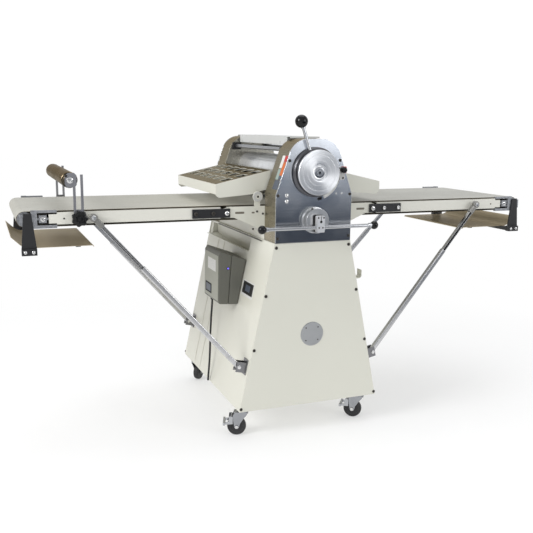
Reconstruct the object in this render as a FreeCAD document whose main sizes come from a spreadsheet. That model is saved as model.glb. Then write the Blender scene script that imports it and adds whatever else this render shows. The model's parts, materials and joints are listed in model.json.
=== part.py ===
import FreeCAD, Part
import Sketcher
import math
import os

# Dough sheeter: a floor machine that rolls dough between two chromed rollers while two
# folding belt tables carry it to and fro.
# Frame: +X along the tables to the right, +Y to the back, +Z up, origin on the floor at
# the middle of the base. The lever side of the head faces -Y. Lengths are in millimetres.

os.makedirs("parts", exist_ok=True)
V = FreeCAD.Vector
doc = FreeCAD.newDocument("dough_sheeter")
sheet = doc.addObject("Spreadsheet::Sheet", "Dims")

# Driving dimensions: alias, value, meaning. X and Y values are distances from the middle.
TABLE = [
    ("runFit", 0.05, "radial running clearance"),
    ("seam", 0.05, "gap between neighbouring pieces"),
    ("wideSeam", 0.1, "wider gap between neighbouring pieces"),
    ("skin", 2, "sheet thickness"),
    ("beltTop", 902, "height of the belts' carrying face"),
    ("beltThick", 2, "belt thickness"),
    ("beltHalf", 260, "half the belt width"),
    ("wrapRad", 26, "inner radius of the belt loops"),
    ("beltRollHalf", 262, "half length of the belt rollers"),
    ("journalRad", 8, "shaft radius of the belt rollers"),
    ("endX", 1036, "axis of the tension rollers"),
    ("driveX", 82, "axis of the belt drive rollers"),
    ("railLow", 856, "lower edge of the side rails"),
    ("railTop", 899, "upper edge of the side rails"),
    ("railY", 284, "outer face of the side rails"),
    ("railIn", 335, "inner end of the side rails"),
    ("railOut", 930, "outer end of the side rails"),
    ("railDeep", 20, "width of the rail flanges"),
    ("tongueOut", 957, "outer end of the rail tongues"),
    ("pivotX", 313, "table fold axis"),
    ("pivotZ", 876, "table fold axis"),
    ("foldPinRad", 8, "radius of the table fold pins"),
    ("mitre", 16, "half the gap between the belt halves at the fold"),
    ("armThick", 4, "thickness of the fixed table arms"),
    ("baseBot", 296, "half width of the base at its foot"),
    ("baseTop", 159, "half width of the base at its head"),
    ("baseLow", 118, "foot of the base skirt"),
    ("baseHigh", 767, "head of the base"),
    ("baseY", 395, "half depth of the base"),
    ("panelThick", 3, "thickness of the end panels"),
    ("headPan", 7, "thickness of the pan at the head of the base frame"),
    ("ledgeZ", 704, "upper edge of the side panels under the trough"),
    ("ledgeY", 154, "where the side panels step up at the front"),
    ("plateY", 397, "outer face of the head plates"),
    ("plateThick", 6, "thickness of the head plates"),
    ("headIn", 285, "inner face of the head housings"),
    ("headHalf", 157, "half width of the head housings"),
    ("kneeZ", 950, "where the housing flanks start to lean in"),
    ("headLow", 768, "foot of the head housings"),
    ("headTop", 1155, "top of the head housings"),
    ("shoulder", 85.25, "half width of the housing outline at its top"),
    ("shoulderRad", 80, "shoulder radius of the housings"),
    ("rollRad", 44, "radius of the sheeting rollers"),
    ("rollHalf", 270, "half length of the sheeting rollers"),
    ("lowRollZ", 862, "axis of the lower sheeting roller"),
    ("upRollZ", 962, "axis of the upper sheeting roller"),
    ("shaftRad", 12, "shaft radius of the sheeting rollers"),
    ("dialZ", 1032, "axis of the thickness dial"),
    ("dialRad", 84, "radius of the thickness dial"),
    ("dialFront", 436, "front face of the thickness dial"),
    ("dialShaft", 15, "shaft radius of the thickness dial"),
    ("leverLean", 19.2, "lean of the thickness lever from upright, degrees"),
    ("leverLen", 197, "dial axis to ball centre"),
    ("leverBall", 24, "radius of the lever ball"),
    ("dirZ", 852, "axis of the direction lever"),
    ("dirShaft", 8, "shaft radius of the direction lever"),
    ("barY", 449, "axis of the direction bar"),
    ("barZ", 830, "axis of the direction bar"),
    ("barHalf", 231, "bar centre to ball centre"),
    ("barRad", 7, "radius of the direction bar"),
    ("barBall", 16, "radius of the bar balls"),
    ("guardOut", 351, "outer edge of the guards"),
    ("guardIn", 130, "inner edge of the guards"),
    ("guardOutZ", 984, "guard height at its outer edge"),
    ("guardInZ", 1034, "guard height at its inner edge"),
    ("guardHalf", 272, "half width of the guards"),
    ("guardPivX", 188, "guard pivot"),
    ("guardPivZ", 935, "guard pivot"),
    ("guardPinRad", 6, "radius of the guard pivot pins"),
    ("linkOut", 446, "outer end of the link plates"),
    ("linkIn", 299, "inner end of the link plates"),
    ("linkLow", 859, "lower edge of the link plates"),
    ("linkHigh", 893, "upper edge of the link plates"),
    ("strutBotX", 290, "lower strut pivot"),
    ("strutBotY", 359, "lower strut pivot"),
    ("strutBotZ", 293, "lower strut pivot"),
    ("strutTopX", 808, "upper strut pivot"),
    ("strutTopY", 307, "upper strut pivot"),
    ("strutTopZ", 878, "upper strut pivot"),
    ("foldMax", 40, "greatest fold of a table, degrees"),
    ("tubeSize", 20, "side of the square strut tube"),
    ("tubeWall", 2, "wall of the strut tube"),
    ("tubeLen", 533, "pivot to mouth of the strut tube"),
    ("rodSize", 14, "side of the sliding strut bar"),
    ("rodStart", 222, "inner end of the sliding bar above the lower pivot"),
    ("panIn", 800, "inner end of the catch pans"),
    ("panZ", 770, "floor of the catch pans"),
    ("panHalf", 237, "half width of the catch pans"),
    ("panTipX", 1085, "lip of the catch pans"),
    ("panTipZ", 811, "lip of the catch pans"),
    ("casterX", 258, "caster swivel axis"),
    ("casterY", 332, "caster swivel axis"),
    ("wheelRad", 37.5, "caster wheel radius"),
    ("wheelHalf", 12, "half the wheel width"),
    ("axleRad", 5, "caster axle radius"),
    ("trail", 26, "caster trail"),
    ("holderX", 856, "star knob axis on the rolling pin holders"),
    ("studRad", 5, "star knob stud radius"),
    ("pinX", 883, "rolling pin axis"),
    ("pinZ", 1009, "rolling pin axis"),
    ("pinRad", 28, "rolling pin radius"),
    ("pinJournal", 9, "shaft radius of the rolling pin"),
]


class Dim:
    """A length that carries its value and the sheet expression it comes from."""

    def __init__(self, value, text):
        self.value, self.text = float(value), text

    def __add__(self, other):
        other = num(other)
        return Dim(self.value + other.value, "(%s + %s)" % (self.text, other.text))

    def __sub__(self, other):
        other = num(other)
        return Dim(self.value - other.value, "(%s - %s)" % (self.text, other.text))

    def __mul__(self, other):
        other = num(other)
        return Dim(self.value * other.value, "(%s * %s)" % (self.text, other.text))

    def __truediv__(self, other):
        other = num(other)
        return Dim(self.value / other.value, "(%s / %s)" % (self.text, other.text))

    def __neg__(self):
        return num(0) - self

    __radd__ = __add__
    __rmul__ = __mul__

    def __rsub__(self, other):
        return num(other) - self


def num(value):
    """The value as a Dim, with plain numbers written out in the expression."""
    if isinstance(value, Dim):
        return value
    value = float(value)
    return Dim(value, "%.6f" % value if value >= 0 else "(0 - %.6f)" % -value)


class Sizes:
    """Holds one Dim per alias of the sheet."""


dim = Sizes()
for row, (alias, size, note) in enumerate(TABLE, 1):
    sheet.set("A%d" % row, note)
    sheet.set("B%d" % row, str(size))
    sheet.setAlias("B%d" % row, alias)
    setattr(dim, alias, Dim(size, "Dims." + alias))
doc.recompute()

SIDES = ((-1, "left"), (1, "right"))
ENDS = ((-1, "front"), (1, "rear"))
CORNERS = [(side, end, hand + "_" + face) for side, hand in SIDES for end, face in ENDS]


# ---------------------------------------------------------------- helpers
def span(sign, near, far):
    """Limits on the side of the middle given by sign."""
    return sign * near, sign * far


def even(half):
    """Limits at equal distances about the middle."""
    return -half, half


def across(side, points):
    """X-Z points carried to the given side."""
    return [(side * x, z) for x, z in points]


def order(first, second):
    first, second = num(first), num(second)
    return (first, second) if first.value < second.value else (second, first)


def place(part, x, y, z):
    """Bind an object's position to the sheet."""
    for axis, at in (("x", x), ("y", y), ("z", z)):
        part.setExpression("Placement.Base." + axis, num(at).text)
    return part


def box(name, x, y, z):
    """A box from pairs of limits along each axis, in either order."""
    part = doc.addObject("Part::Box", name)
    limits = [order(*pair) for pair in (x, y, z)]
    for prop, (low, high) in zip(("Length", "Width", "Height"), limits):
        part.setExpression(prop, (high - low).text)
    return place(part, *[low for low, high in limits])


TURN = {
    "z": FreeCAD.Rotation(),
    "y": FreeCAD.Rotation(V(1, 0, 0), -90),
    "x": FreeCAD.Rotation(V(0, 1, 0), 90),
}


def cyl(name, axis, radius, at, limits):
    """A cylinder along an axis: at gives the two other coordinates."""
    part = doc.addObject("Part::Cylinder", name)
    low, high = order(*limits)
    part.setExpression("Radius", num(radius).text)
    part.setExpression("Height", (high - low).text)
    part.Placement.Rotation = TURN[axis]
    if axis == "x":
        return place(part, low, at[0], at[1])
    if axis == "y":
        return place(part, at[0], low, at[1])
    return place(part, at[0], at[1], low)


def ball(name, radius, x, y, z):
    part = doc.addObject("Part::Sphere", name)
    part.setExpression("Radius", num(radius).text)
    return place(part, x, y, z)


def fuse(name, parts):
    part = doc.addObject("Part::MultiFuse", name)
    part.Shapes = parts
    return part


def cut(name, base, tools):
    """The base less a list of tools."""
    part = doc.addObject("Part::Cut", name)
    part.Base = base
    part.Tool = fuse(name + "_tools", tools) if len(tools) > 1 else tools[0]
    return part


def group(name, parts):
    """Separate identical or mirrored pieces kept as one named sub-part."""
    part = doc.addObject("Part::Compound", name)
    part.Links = parts
    return part


def sketch_outline(sketch, points):
    """Closed chain of straight edges whose corners are bound to the sheet."""
    points = [(num(x), num(y)) for x, y in points]
    count = len(points)
    for i in range(count):
        start, stop = [V(x.value, y.value, 0) for x, y in (points[i], points[(i + 1) % count])]
        sketch.addGeometry(Part.LineSegment(start, stop), False)
    for i in range(count):
        sketch.addConstraint(Sketcher.Constraint("Coincident", i, 2, (i + 1) % count, 1))
    for i, (x, y) in enumerate(points):
        for kind, at, axis in (("DistanceX", x, -2), ("DistanceY", y, -1)):
            if abs(at.value) < 1e-9:
                sketch.addConstraint(Sketcher.Constraint("PointOnObject", i, 1, axis))
            else:
                index = sketch.addConstraint(
                    Sketcher.Constraint(kind, -1, 1, i, 1, at.value))
                tag = "%sat%d" % (kind[-1].lower(), i)
                sketch.renameConstraint(index, tag)
                sketch.setExpression("Constraints." + tag, at.text)


def sketched_body(name, points):
    """A body holding the outline as a sketch on its X-Z plane."""
    body = doc.addObject("PartDesign::Body", name)
    sketch = body.newObject("Sketcher::SketchObject", name + "_sketch")
    plane = [item for item in body.Origin.OriginFeatures if item.Role == "XZ_Plane"][0]
    sketch.AttachmentSupport = [(plane, "")]
    sketch.MapMode = "FlatFace"
    sketch_outline(sketch, points)
    return body, sketch


def corner_edges(shape, corners):
    """Names of the edges along Y that stand on the given X-Z corners."""
    names = []
    for index, edge in enumerate(shape.Edges, 1):
        start, stop = edge.Vertexes[0].Point, edge.Vertexes[-1].Point
        for x, z in corners:
            on_corner = abs(start.x - x.value) < 0.01 and abs(start.z - z.value) < 0.01
            if abs(start.y - stop.y) > 1 and on_corner:
                names.append("Edge%d" % index)
    return names


def prism(name, points, limits, rounding=None):
    """Pad of an X-Z outline between two Y limits. rounding is (corners, radius)."""
    low, high = order(*limits)
    body, sketch = sketched_body(name, points)
    pad = body.newObject("PartDesign::Pad", name + "_pad")
    pad.Profile = sketch
    pad.setExpression("Length", (high - low).text)
    # The plane's normal is -Y, so the pad grows forward from its rear limit.
    place(body, 0, high, 0)
    body.Tip = pad
    if rounding:
        # The pad's edges can only be picked once it has a shape.
        doc.recompute()
        corners, radius = rounding
        fillet = body.newObject("PartDesign::Fillet", name + "_round")
        fillet.Base = (pad, corner_edges(pad.Shape, corners))
        fillet.setExpression("Radius", num(radius).text)
        body.Tip = fillet
    return body


def lathe(name, points, at):
    """Revolution of (radius, along) points about the axis along Y through at."""
    body, sketch = sketched_body(name, points)
    turned = body.newObject("PartDesign::Revolution", name + "_rev")
    turned.Profile = sketch
    turned.ReferenceAxis = (sketch, ["V_Axis"])
    turned.Angle = 360
    body.Tip = turned
    body.Placement.Rotation = TURN["y"]
    return place(body, *at)


def roller(name, radius, half, shaft, reach, x, z):
    """A drum of the given half length on a shaft that reaches past both its ends."""
    return lathe(name, [
        (0, -reach), (shaft, -reach), (shaft, -half), (radius, -half),
        (radius, half), (shaft, half), (shaft, reach), (0, reach)], (x, 0, z))


NODES = []


def node(part):
    """Register a piece for export under its label."""
    NODES.append(part)


# ---------------------------------------------------------------- shared places
flank_slope = (dim.baseBot - dim.baseTop) / (dim.baseHigh - dim.baseLow)
floor_top = dim.baseLow + 6
belt_z = dim.beltTop - dim.beltThick - dim.wrapRad
fork_y = dim.railY + 2  # outer face of the tension forks


def flank(z):
    """Half width of the base at height z."""
    return dim.baseBot - flank_slope * (num(z) - dim.baseLow)


# ---------------------------------------------------------------- base
def base_frame():
    """Leaning corner posts, floor pan, open head pan with side lips, bars and caster pads."""
    post_wide, post_inset, pad_half_x, pad_half_y = 30, 5, 30, 38
    frame_y = dim.baseY - 4
    pan_low = dim.baseHigh - dim.headPan
    posts, pads = [], []
    for side, end, tag in CORNERS:
        outer_low, outer_high = flank(floor_top) - post_inset, flank(pan_low) - post_inset
        posts.append(prism("post_" + tag, across(side, [
            (outer_low, floor_top), (outer_low - post_wide, floor_top),
            (outer_high - post_wide, pan_low), (outer_high, pan_low)]),
            span(end, frame_y, frame_y - post_wide)))
        pads.append(box("caster_pad_" + tag,
                        span(side, dim.casterX - pad_half_x, dim.casterX + pad_half_x),
                        span(end, dim.casterY - pad_half_y, dim.casterY + pad_half_y),
                        (dim.baseLow - 3, dim.baseLow + 2)))
    floor_pan = box("floor_pan", even(dim.baseBot - 8), even(frame_y),
                    (dim.baseLow + 2, floor_top))
    head_pan = box("head_pan", even(dim.baseTop - 4), even(frame_y), (pan_low, dim.baseHigh))
    lips = [box("head_lip_" + hand, span(side, dim.baseTop - 5, dim.baseTop + 6),
                (-dim.ledgeY + dim.wideSeam, frame_y), (pan_low, dim.baseHigh))
            for side, hand in SIDES]
    bars = [box("cross_bar_" + face, even(240), span(end, 365, 385), (300, 330))
            for end, face in ENDS]
    raw = fuse("base_frame_raw", posts + [floor_pan, head_pan] + lips + bars + pads)
    opening = box("head_gap", even(110), even(260), (dim.baseHigh - 20, dim.baseHigh + 20))
    return cut("base_frame", raw, [opening])


def end_panels():
    """Flat trapezoid covers at the front and the rear."""
    points = [(-dim.baseBot, dim.baseLow), (dim.baseBot, dim.baseLow),
              (dim.baseTop, dim.baseHigh), (-dim.baseTop, dim.baseHigh)]
    return group("end_panels", [
        prism(face + "_panel", points, span(end, dim.baseY, dim.baseY - dim.panelThick))
        for end, face in ENDS])


def side_panel(side, hand):
    """Leaning sheet with a hemmed ledge and a sloping trough floor behind the step."""
    rear_y = dim.baseY - dim.panelThick

    def leaning_sheet(name, low, high, limits):
        return prism(name, across(side, [
            (flank(low), low), (flank(low) - dim.skin, low),
            (flank(high) - dim.skin, high), (flank(high), high)]), limits)

    ledge_x = flank(dim.ledgeZ)
    trough_floor = box(hand + "_trough_floor", span(side, 141, 172.5), (-dim.ledgeY, 356),
                       (670, 671.5))
    trough_floor.Placement.Rotation = FreeCAD.Rotation(V(1, 0, 0), 4.2)
    pieces = [
        leaning_sheet(hand + "_side_lower", dim.baseLow, dim.ledgeZ, even(rear_y)),
        leaning_sheet(hand + "_side_upper", dim.ledgeZ, dim.baseHigh, (-rear_y, -dim.ledgeY)),
        box(hand + "_side_hem", span(side, ledge_x - dim.skin, ledge_x + 9),
            (-dim.ledgeY, rear_y), (dim.ledgeZ - 3, dim.ledgeZ)),
        box(hand + "_trough_wall", span(side, 140, 141.5), (-dim.ledgeY, 358),
            (668, dim.baseHigh - dim.headPan - dim.wideSeam)),
        trough_floor]
    if side > 0:
        # Upturned hook near the front edge of the right panel.
        pieces.append(prism("right_hook", [
            (flank(602) - 1, 602), (231, 602), (238.5, 610), (238.5, 636),
            (236, 636), (236, 611), (230, 604.5), (flank(604.5) - 1, 604.5)], (-352, -318)))
    return fuse(hand + "_side_panel", pieces)


# ---------------------------------------------------------------- head
def head_outline(inset=0):
    """Outline of the head, drawn in by inset, and the rounding of its two shoulders."""
    half = dim.headHalf - inset
    shoulder = dim.shoulder - inset
    top = dim.headTop - inset
    low = dim.headLow + inset
    tips = [(shoulder, top), (-shoulder, top)]
    points = [(-half, low), (half, low), (half, dim.kneeZ)] + tips + [(-half, dim.kneeZ)]
    return points, (tips, dim.shoulderRad - inset)


def head_housing(end, face):
    """Hollow housing, open outwards, with a roller bore and slot through its inner wall."""
    flank_wall, inner_wall = 3, 4
    outer_y = dim.plateY - dim.plateThick
    points, rounding = head_outline()
    shell = prism(face + "_housing_outer", points, span(end, outer_y, dim.headIn), rounding)
    points, rounding = head_outline(flank_wall)
    core = prism(face + "_housing_core", points,
                 span(end, outer_y, dim.headIn + inner_wall), rounding)
    through = span(end, dim.headIn - 5, dim.headIn + 10)
    bore = cyl(face + "_low_bore", "y", dim.shaftRad + dim.runFit, (0, dim.lowRollZ), through)
    slot = box(face + "_up_slot", even(dim.shaftRad + 3), through,
               (dim.upRollZ - 27, dim.upRollZ + 42))
    return cut(face + "_housing", shell, [core, bore, slot])


def head_plate(end, face):
    """Outer plate of a housing; the front one is bored for the dial and direction shafts."""
    points, rounding = head_outline()
    plate = prism(face + "_plate_blank", points,
                  span(end, dim.plateY, dim.plateY - dim.plateThick), rounding)
    if end > 0:
        return plate
    through = (-dim.plateY - 5, -dim.plateY + 12)
    return cut("front_plate", plate, [
        cyl("dial_bore", "y", dim.dialShaft + dim.runFit, (0, dim.dialZ), through),
        cyl("direction_bore", "y", 12, (0, dim.dirZ), through)])


def cover_sheet():
    """Flat lid with a flange down each side and a short wall at each end."""
    half_x, half_y, flange_half_y = 62, 300, 270
    under = dim.headTop + 5
    pieces = [box("cover_lid", even(half_x), even(half_y), (under, under + dim.skin))]
    pieces += [box("cover_%s_flange" % hand, span(side, half_x - dim.skin, half_x),
                   even(flange_half_y), (dim.headTop - 26, under)) for side, hand in SIDES]
    pieces += [box("cover_%s_end" % face, even(half_x), span(end, half_y - dim.skin, half_y),
                   (dim.headTop + 0.5, under)) for end, face in ENDS]
    return fuse("cover_sheet", pieces)


def roller_shield():
    """Half-round sheet above the upper roller with short straight skirts."""
    outer, inner, axis_z, skirt_z, open_z = 66, 64, 1020, 1006, 940
    length, through = even(dim.headIn - dim.wideSeam), even(300)
    raw = fuse("shield_raw", [
        cyl("shield_drum", "y", outer, (0, axis_z), length),
        box("shield_skirts", even(outer), length, (skirt_z, axis_z))])
    return cut("roller_shield", raw, [
        cyl("shield_core", "y", inner, (0, axis_z), through),
        box("shield_open", even(inner), through, (open_z, axis_z)),
        box("shield_below", even(70), through, (open_z, skirt_z))])


def tie_rods():
    """Upper rods with end blocks and plain lower rods between the housings."""
    rods = []
    length = even(dim.headIn)
    for side, hand in SIDES:
        upper = [cyl(hand + "_upper_rod", "y", 8, (side * 75, 1112), length)]
        upper += [box("%s_%s_block" % (hand, face), span(side, 55, 95),
                      span(end, dim.headIn, dim.headIn - 12), (1096, 1127))
                  for end, face in ENDS]
        rods.append(fuse(hand + "_tie_rod", upper))
        rods.append(cyl(hand + "_lower_rod", "y", 10, (side * 120, 785), length))
    return group("tie_rods", rods)


def lower_scrapers():
    """Sloping blades under the lower roller that catch what sticks to it."""
    blade = [(34, 826), (34, 823), (92, 812), (92, 815)]
    return group("lower_scrapers", [
        prism(hand + "_scraper", across(side, blade), even(265)) for side, hand in SIDES])


def lift_carriage():
    """Bearing blocks that carry the upper roller up and down, and its scraper bar."""
    block_half_x, block_half_z, block_out = 36, 34, 335
    parts = []
    for end, face in ENDS:
        block = box(face + "_lift_block", even(block_half_x),
                    span(end, dim.headIn + 6, block_out),
                    (dim.upRollZ - block_half_z, dim.upRollZ + block_half_z))
        bore = cyl(face + "_lift_bore", "y", dim.shaftRad + dim.runFit, (0, dim.upRollZ),
                   span(end, dim.headIn + 1, block_out + 5))
        parts.append(cut(face + "_lift_bearing", block, [bore]))
    parts.append(prism("upper_scraper", [
        (-22, 1013), (22, 1013), (34, 1024), (20, 1034), (-20, 1034), (-34, 1024)], even(268)))
    return group("lift_carriage", parts)


# ---------------------------------------------------------------- controls
def direction_hub():
    """Flanged housing on the head plate around the direction shaft."""
    bore = dim.dirShaft + dim.runFit
    face_y = -dim.plateY
    return lathe("direction_hub", [
        (bore, face_y), (50, face_y), (50, face_y - 7), (37, face_y - 9),
        (37, face_y - 25), (47, face_y - 27), (47, face_y - 33), (bore, face_y - 33)],
        (0, 0, dim.dirZ))


def direction_lever():
    """Shaft, clamp block, bar and two balls in one piece."""
    bar_end = dim.barHalf - dim.barBall + 2  # runs 2 into each ball
    return fuse("direction_lever", [
        cyl("direction_shaft", "y", dim.dirShaft, (0, dim.dirZ),
            (-dim.barY + 8, -dim.plateY + 4)),
        box("direction_clamp", even(15.5), (-dim.barY - 11, -dim.barY + 11),
            (dim.barZ - 18, dim.dirZ + 22)),
        cyl("direction_bar", "x", dim.barRad, (-dim.barY, dim.barZ), even(bar_end)),
        ball("left_bar_ball", dim.barBall, -dim.barHalf, -dim.barY, dim.barZ),
        ball("right_bar_ball", dim.barBall, dim.barHalf, -dim.barY, dim.barZ)])


def thickness_dial():
    """Faced disc, groove and drum on one shaft through the head plate."""
    face_y, rim, groove = -dim.dialFront, dim.dialRad, dim.dialRad - 7
    drum_back, hub_back = -dim.plateY - 2, -dim.plateY - 0.4
    shaft_end = -dim.plateY + 50
    return lathe("thickness_dial", [
        (0, face_y - 3), (9, face_y - 3), (9, face_y), (22, face_y), (22, face_y + 3),
        (27, face_y + 3), (27, face_y), (rim, face_y), (rim, face_y + 11),
        (groove, face_y + 11), (groove, face_y + 16), (rim, face_y + 16), (rim, drum_back),
        (30, drum_back), (30, hub_back), (dim.dialShaft, hub_back),
        (dim.dialShaft, shaft_end), (0, shaft_end)], (0, 0, dim.dialZ))


def thickness_lever():
    """Leaning stem and ball standing out of the dial's drum."""
    lever_y, stem_rad = -408, 6.5
    lean = math.radians(dim.leverLean.value)
    stem_foot = dim.dialRad + dim.seam
    foot_z = dim.dialZ + stem_foot * math.cos(lean)
    stem_len = dim.leverLen - dim.dialRad - dim.leverBall + 3
    stem = cyl("lever_stem", "z", stem_rad, (-(stem_foot * math.sin(lean)), lever_y),
               (foot_z, foot_z + stem_len))
    stem.Placement.Rotation = FreeCAD.Rotation(V(0, 1, 0), -dim.leverLean.value)
    knob = ball("lever_ball", dim.leverBall, -(dim.leverLen * math.sin(lean)), lever_y,
                dim.dialZ + dim.leverLen * math.cos(lean))
    # Half a turn moves the sphere's seam away from the stem.
    knob.Placement.Rotation = FreeCAD.Rotation(V(0, 0, 1), 180)
    return fuse("thickness_lever", [stem, knob])


def limit_stop():
    """Clamp and knob that slide round the dial and halt the lever."""
    clamp_out = -dim.plateY - 8
    return fuse("limit_stop", [
        box("stop_clamp", (98, 122), (clamp_out, -dim.plateY - 4), (1002, 1050)),
        cyl("stop_knob", "y", 11, (109, dim.dialZ + 8), (-dim.plateY - 32, clamp_out))])


# ---------------------------------------------------------------- guards
def guard(side, hand):
    """Slotted sloping top with an outer lip, two cheeks and a pivot at each end."""
    side_gap, disc_out = 0.5, dim.headIn + 6
    slot_rows, slot_half_x, slot_half_y = (172, 232, 292), 19, 28
    slot_first, slot_pitch, slot_count = -220, 88, 6
    width = even(dim.guardHalf)
    slope = [(dim.guardOut, dim.guardOutZ), (dim.guardIn, dim.guardInZ)]
    cheek = across(side, slope + [
        (dim.guardIn, dim.guardInZ - 74), (164, 956), (205, 943), (337, 932),
        (dim.guardOut - 2, 940), (dim.guardOut, 950)])
    pieces = [prism("%s_guard_%s_cheek" % (hand, face), cheek,
                    span(end, dim.guardHalf, dim.guardHalf - dim.skin)) for end, face in ENDS]
    pieces.append(prism(hand + "_guard_top", across(side, slope + [
        (dim.guardIn, dim.guardInZ - dim.skin), (dim.guardOut, dim.guardOutZ - dim.skin)]),
        width))
    pieces.append(box(hand + "_guard_lip", span(side, dim.guardOut, dim.guardOut - dim.skin),
                      width, (dim.guardOutZ, dim.guardOutZ - 39)))
    pivot = (side * dim.guardPivX, dim.guardPivZ)
    for end, face in ENDS:
        for name, radius, near, far in (
                ("pin", dim.guardPinRad, dim.guardHalf - 1, disc_out),
                ("spacer", 14, dim.guardHalf, dim.headIn - dim.armThick - side_gap),
                ("disc", 20, dim.headIn + side_gap, disc_out)):
            pieces.append(cyl("%s_guard_%s_%s" % (hand, face, name), "y", radius, pivot,
                              span(end, near, far)))
    slots = []
    for i, x in enumerate(slot_rows):
        for j in range(slot_count):
            y = slot_first + slot_pitch * j
            slots.append(box("%s_guard_slot_%d_%d" % (hand, i, j),
                             span(side, x - slot_half_x, x + slot_half_x),
                             (y - slot_half_y, y + slot_half_y), (975, 1040)))
    return cut(hand + "_guard", fuse(hand + "_guard_raw", pieces), slots)


# ---------------------------------------------------------------- belts, inner tables
def belt(name, open_x, end_x):
    """A belt half: a U of sheet wrapped round the roller at end_x and open at open_x."""
    past_mouth = 5 if open_x.value > end_x.value else -5

    def loop(tag, radius, mouth_x, half_y):
        width = even(half_y)
        return fuse(name + tag, [
            cyl(name + tag + "_end", "y", radius, (end_x, belt_z), width),
            box(name + tag + "_run", (mouth_x, end_x), width,
                (belt_z - radius, belt_z + radius))])

    outer = loop("_outer", dim.wrapRad + dim.beltThick, open_x, dim.beltHalf)
    core = loop("_core", dim.wrapRad, open_x + past_mouth, dim.beltHalf + 1)
    return cut(name, outer, [core])


def belt_roller(name, reach, x):
    return roller(name, dim.wrapRad - dim.wideSeam, dim.beltRollHalf, dim.journalRad, reach,
                  x, belt_z)


def table_bracket(side, hand):
    """Fixed inner table: an arm with fold nose and guard lug at each end, and a deck."""
    lug_half = 12
    arm = across(side, [
        (dim.pivotX - 2, dim.railTop), (dim.pivotX - 4, dim.pivotZ - 19), (283, 857),
        (224, 831), (157, 800), (60, 800), (60, 840), (66, dim.railTop)])
    fold_axis = (side * dim.pivotX, dim.pivotZ)
    guard_axis = (side * dim.guardPivX, dim.guardPivZ)
    pieces = []
    for end, face in ENDS:
        tag = "%s_%s_" % (hand, face)
        thick = span(end, dim.headIn, dim.headIn - dim.armThick)
        pieces += [
            prism(tag + "arm", arm, thick),
            cyl(tag + "nose", "y", 19, fold_axis, thick),
            box(tag + "lug", span(side, dim.guardPivX - lug_half, dim.guardPivX + lug_half),
                thick, (dim.railTop - 1, dim.guardPivZ)),
            cyl(tag + "lugtop", "y", lug_half, guard_axis, thick)]
    pieces.append(box(hand + "_inner_deck", span(side, dim.pivotX - 24, 116),
                      even(dim.headIn - dim.armThick), (dim.railTop - dim.skin, dim.railTop)))
    through = even(300)
    return cut(hand + "_bracket", fuse(hand + "_bracket_raw", pieces), [
        cyl(hand + "_pivot_bore", "y", dim.foldPinRad + dim.runFit, fold_axis, through),
        cyl(hand + "_guard_bore", "y", dim.guardPinRad + dim.runFit, guard_axis, through),
        cyl(hand + "_drive_bore", "y", dim.journalRad + dim.runFit,
            (side * dim.driveX, belt_z), through)])


def closing_wall(side, hand):
    """Upright sheet between the arms, from the head of the base up."""
    return box(hand + "_closing_wall", span(side, dim.headHalf, dim.headHalf - 1.5),
               even(dim.headIn - dim.armThick - dim.seam), (dim.baseHigh + dim.wideSeam, 843))


# ---------------------------------------------------------------- folding tables
def table_frame(side, hand):
    """Channel rails, deck sheet, three cross bars and a tongue out of each rail."""
    cross_starts, cross_wide = (380, 640, 900), 20
    length = span(side, dim.railIn, dim.railOut)
    web_in, flange_in = dim.railY - dim.skin, dim.railY - dim.railDeep
    top = (dim.railTop, dim.railTop - dim.skin)
    rails, tongues = [], []
    for end, face in ENDS:
        tag = "%s_%s_" % (hand, face)
        flange = span(end, web_in, flange_in)
        rails += [
            box(tag + "web", length, span(end, dim.railY, web_in), (dim.railLow, dim.railTop)),
            box(tag + "top_flange", length, flange, top),
            box(tag + "low_flange", length, flange, (dim.railLow, dim.railLow + dim.skin))]
        tongues.append(box(tag + "rail_tongue", span(side, dim.railOut - 1, dim.tongueOut),
                           span(end, dim.railY, dim.railY - 12), (860, 892)))
    deck = box(hand + "_deck", span(side, dim.railIn, 995), even(flange_in), top)
    crosses = [box("%s_cross_%d" % (hand, i), span(side, x, x + cross_wide), even(web_in),
                   (866, 888)) for i, x in enumerate(cross_starts)]
    return fuse(hand + "_table_frame", rails + [deck] + crosses + tongues)


def tension_fork(side, end, tag):
    """Cast arms, upright plate with the roller bearing, and the tension screw."""
    thick = span(end, fork_y, dim.railY - 10)
    arms = span(side, dim.railOut + dim.seam, 1016)
    raw = fuse(tag + "_fork_raw", [
        box(tag + "_fork_top", arms, thick, (898, 906)),
        box(tag + "_fork_low", arms, thick, (844, 855)),
        box(tag + "_fork_post", span(side, 996, 1016), thick, (844, 907)),
        box(tag + "_fork_ear", span(side, 1010, 1054), thick, (belt_z - 18, belt_z + 18)),
        cyl(tag + "_tension_screw", "x", 4, (end * (dim.railY - 6), dim.pivotZ),
            span(side, dim.tongueOut + dim.seam, 1000)),
        box(tag + "_tension_nut", span(side, 964, 990),
            span(end, dim.railY - 14, dim.railY + 1), (863, 889))])
    bore = cyl(tag + "_fork_bore", "y", dim.journalRad + dim.runFit,
               (side * dim.endX, belt_z), span(end, 250, 300))
    return cut(tag + "_fork", raw, [bore])


def link_set(side, end, tag):
    """Link plate with its fold pin and two bolts."""
    plate_in = dim.headIn + 0.4
    pieces = [
        box(tag + "_link", span(side, dim.linkIn, dim.linkOut),
            span(end, plate_in, plate_in + 5), (dim.linkLow, dim.linkHigh)),
        cyl(tag + "_link_pin", "y", dim.foldPinRad, (side * dim.pivotX, dim.pivotZ),
            span(end, dim.headIn - 6, plate_in + 9))]
    pieces += [cyl("%s_link_bolt_%d" % (tag, x), "y", 7, (side * x, dim.pivotZ),
                   span(end, dim.railY, plate_in + 8)) for x in (366, 433)]
    return fuse(tag + "_link_set", pieces)


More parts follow.
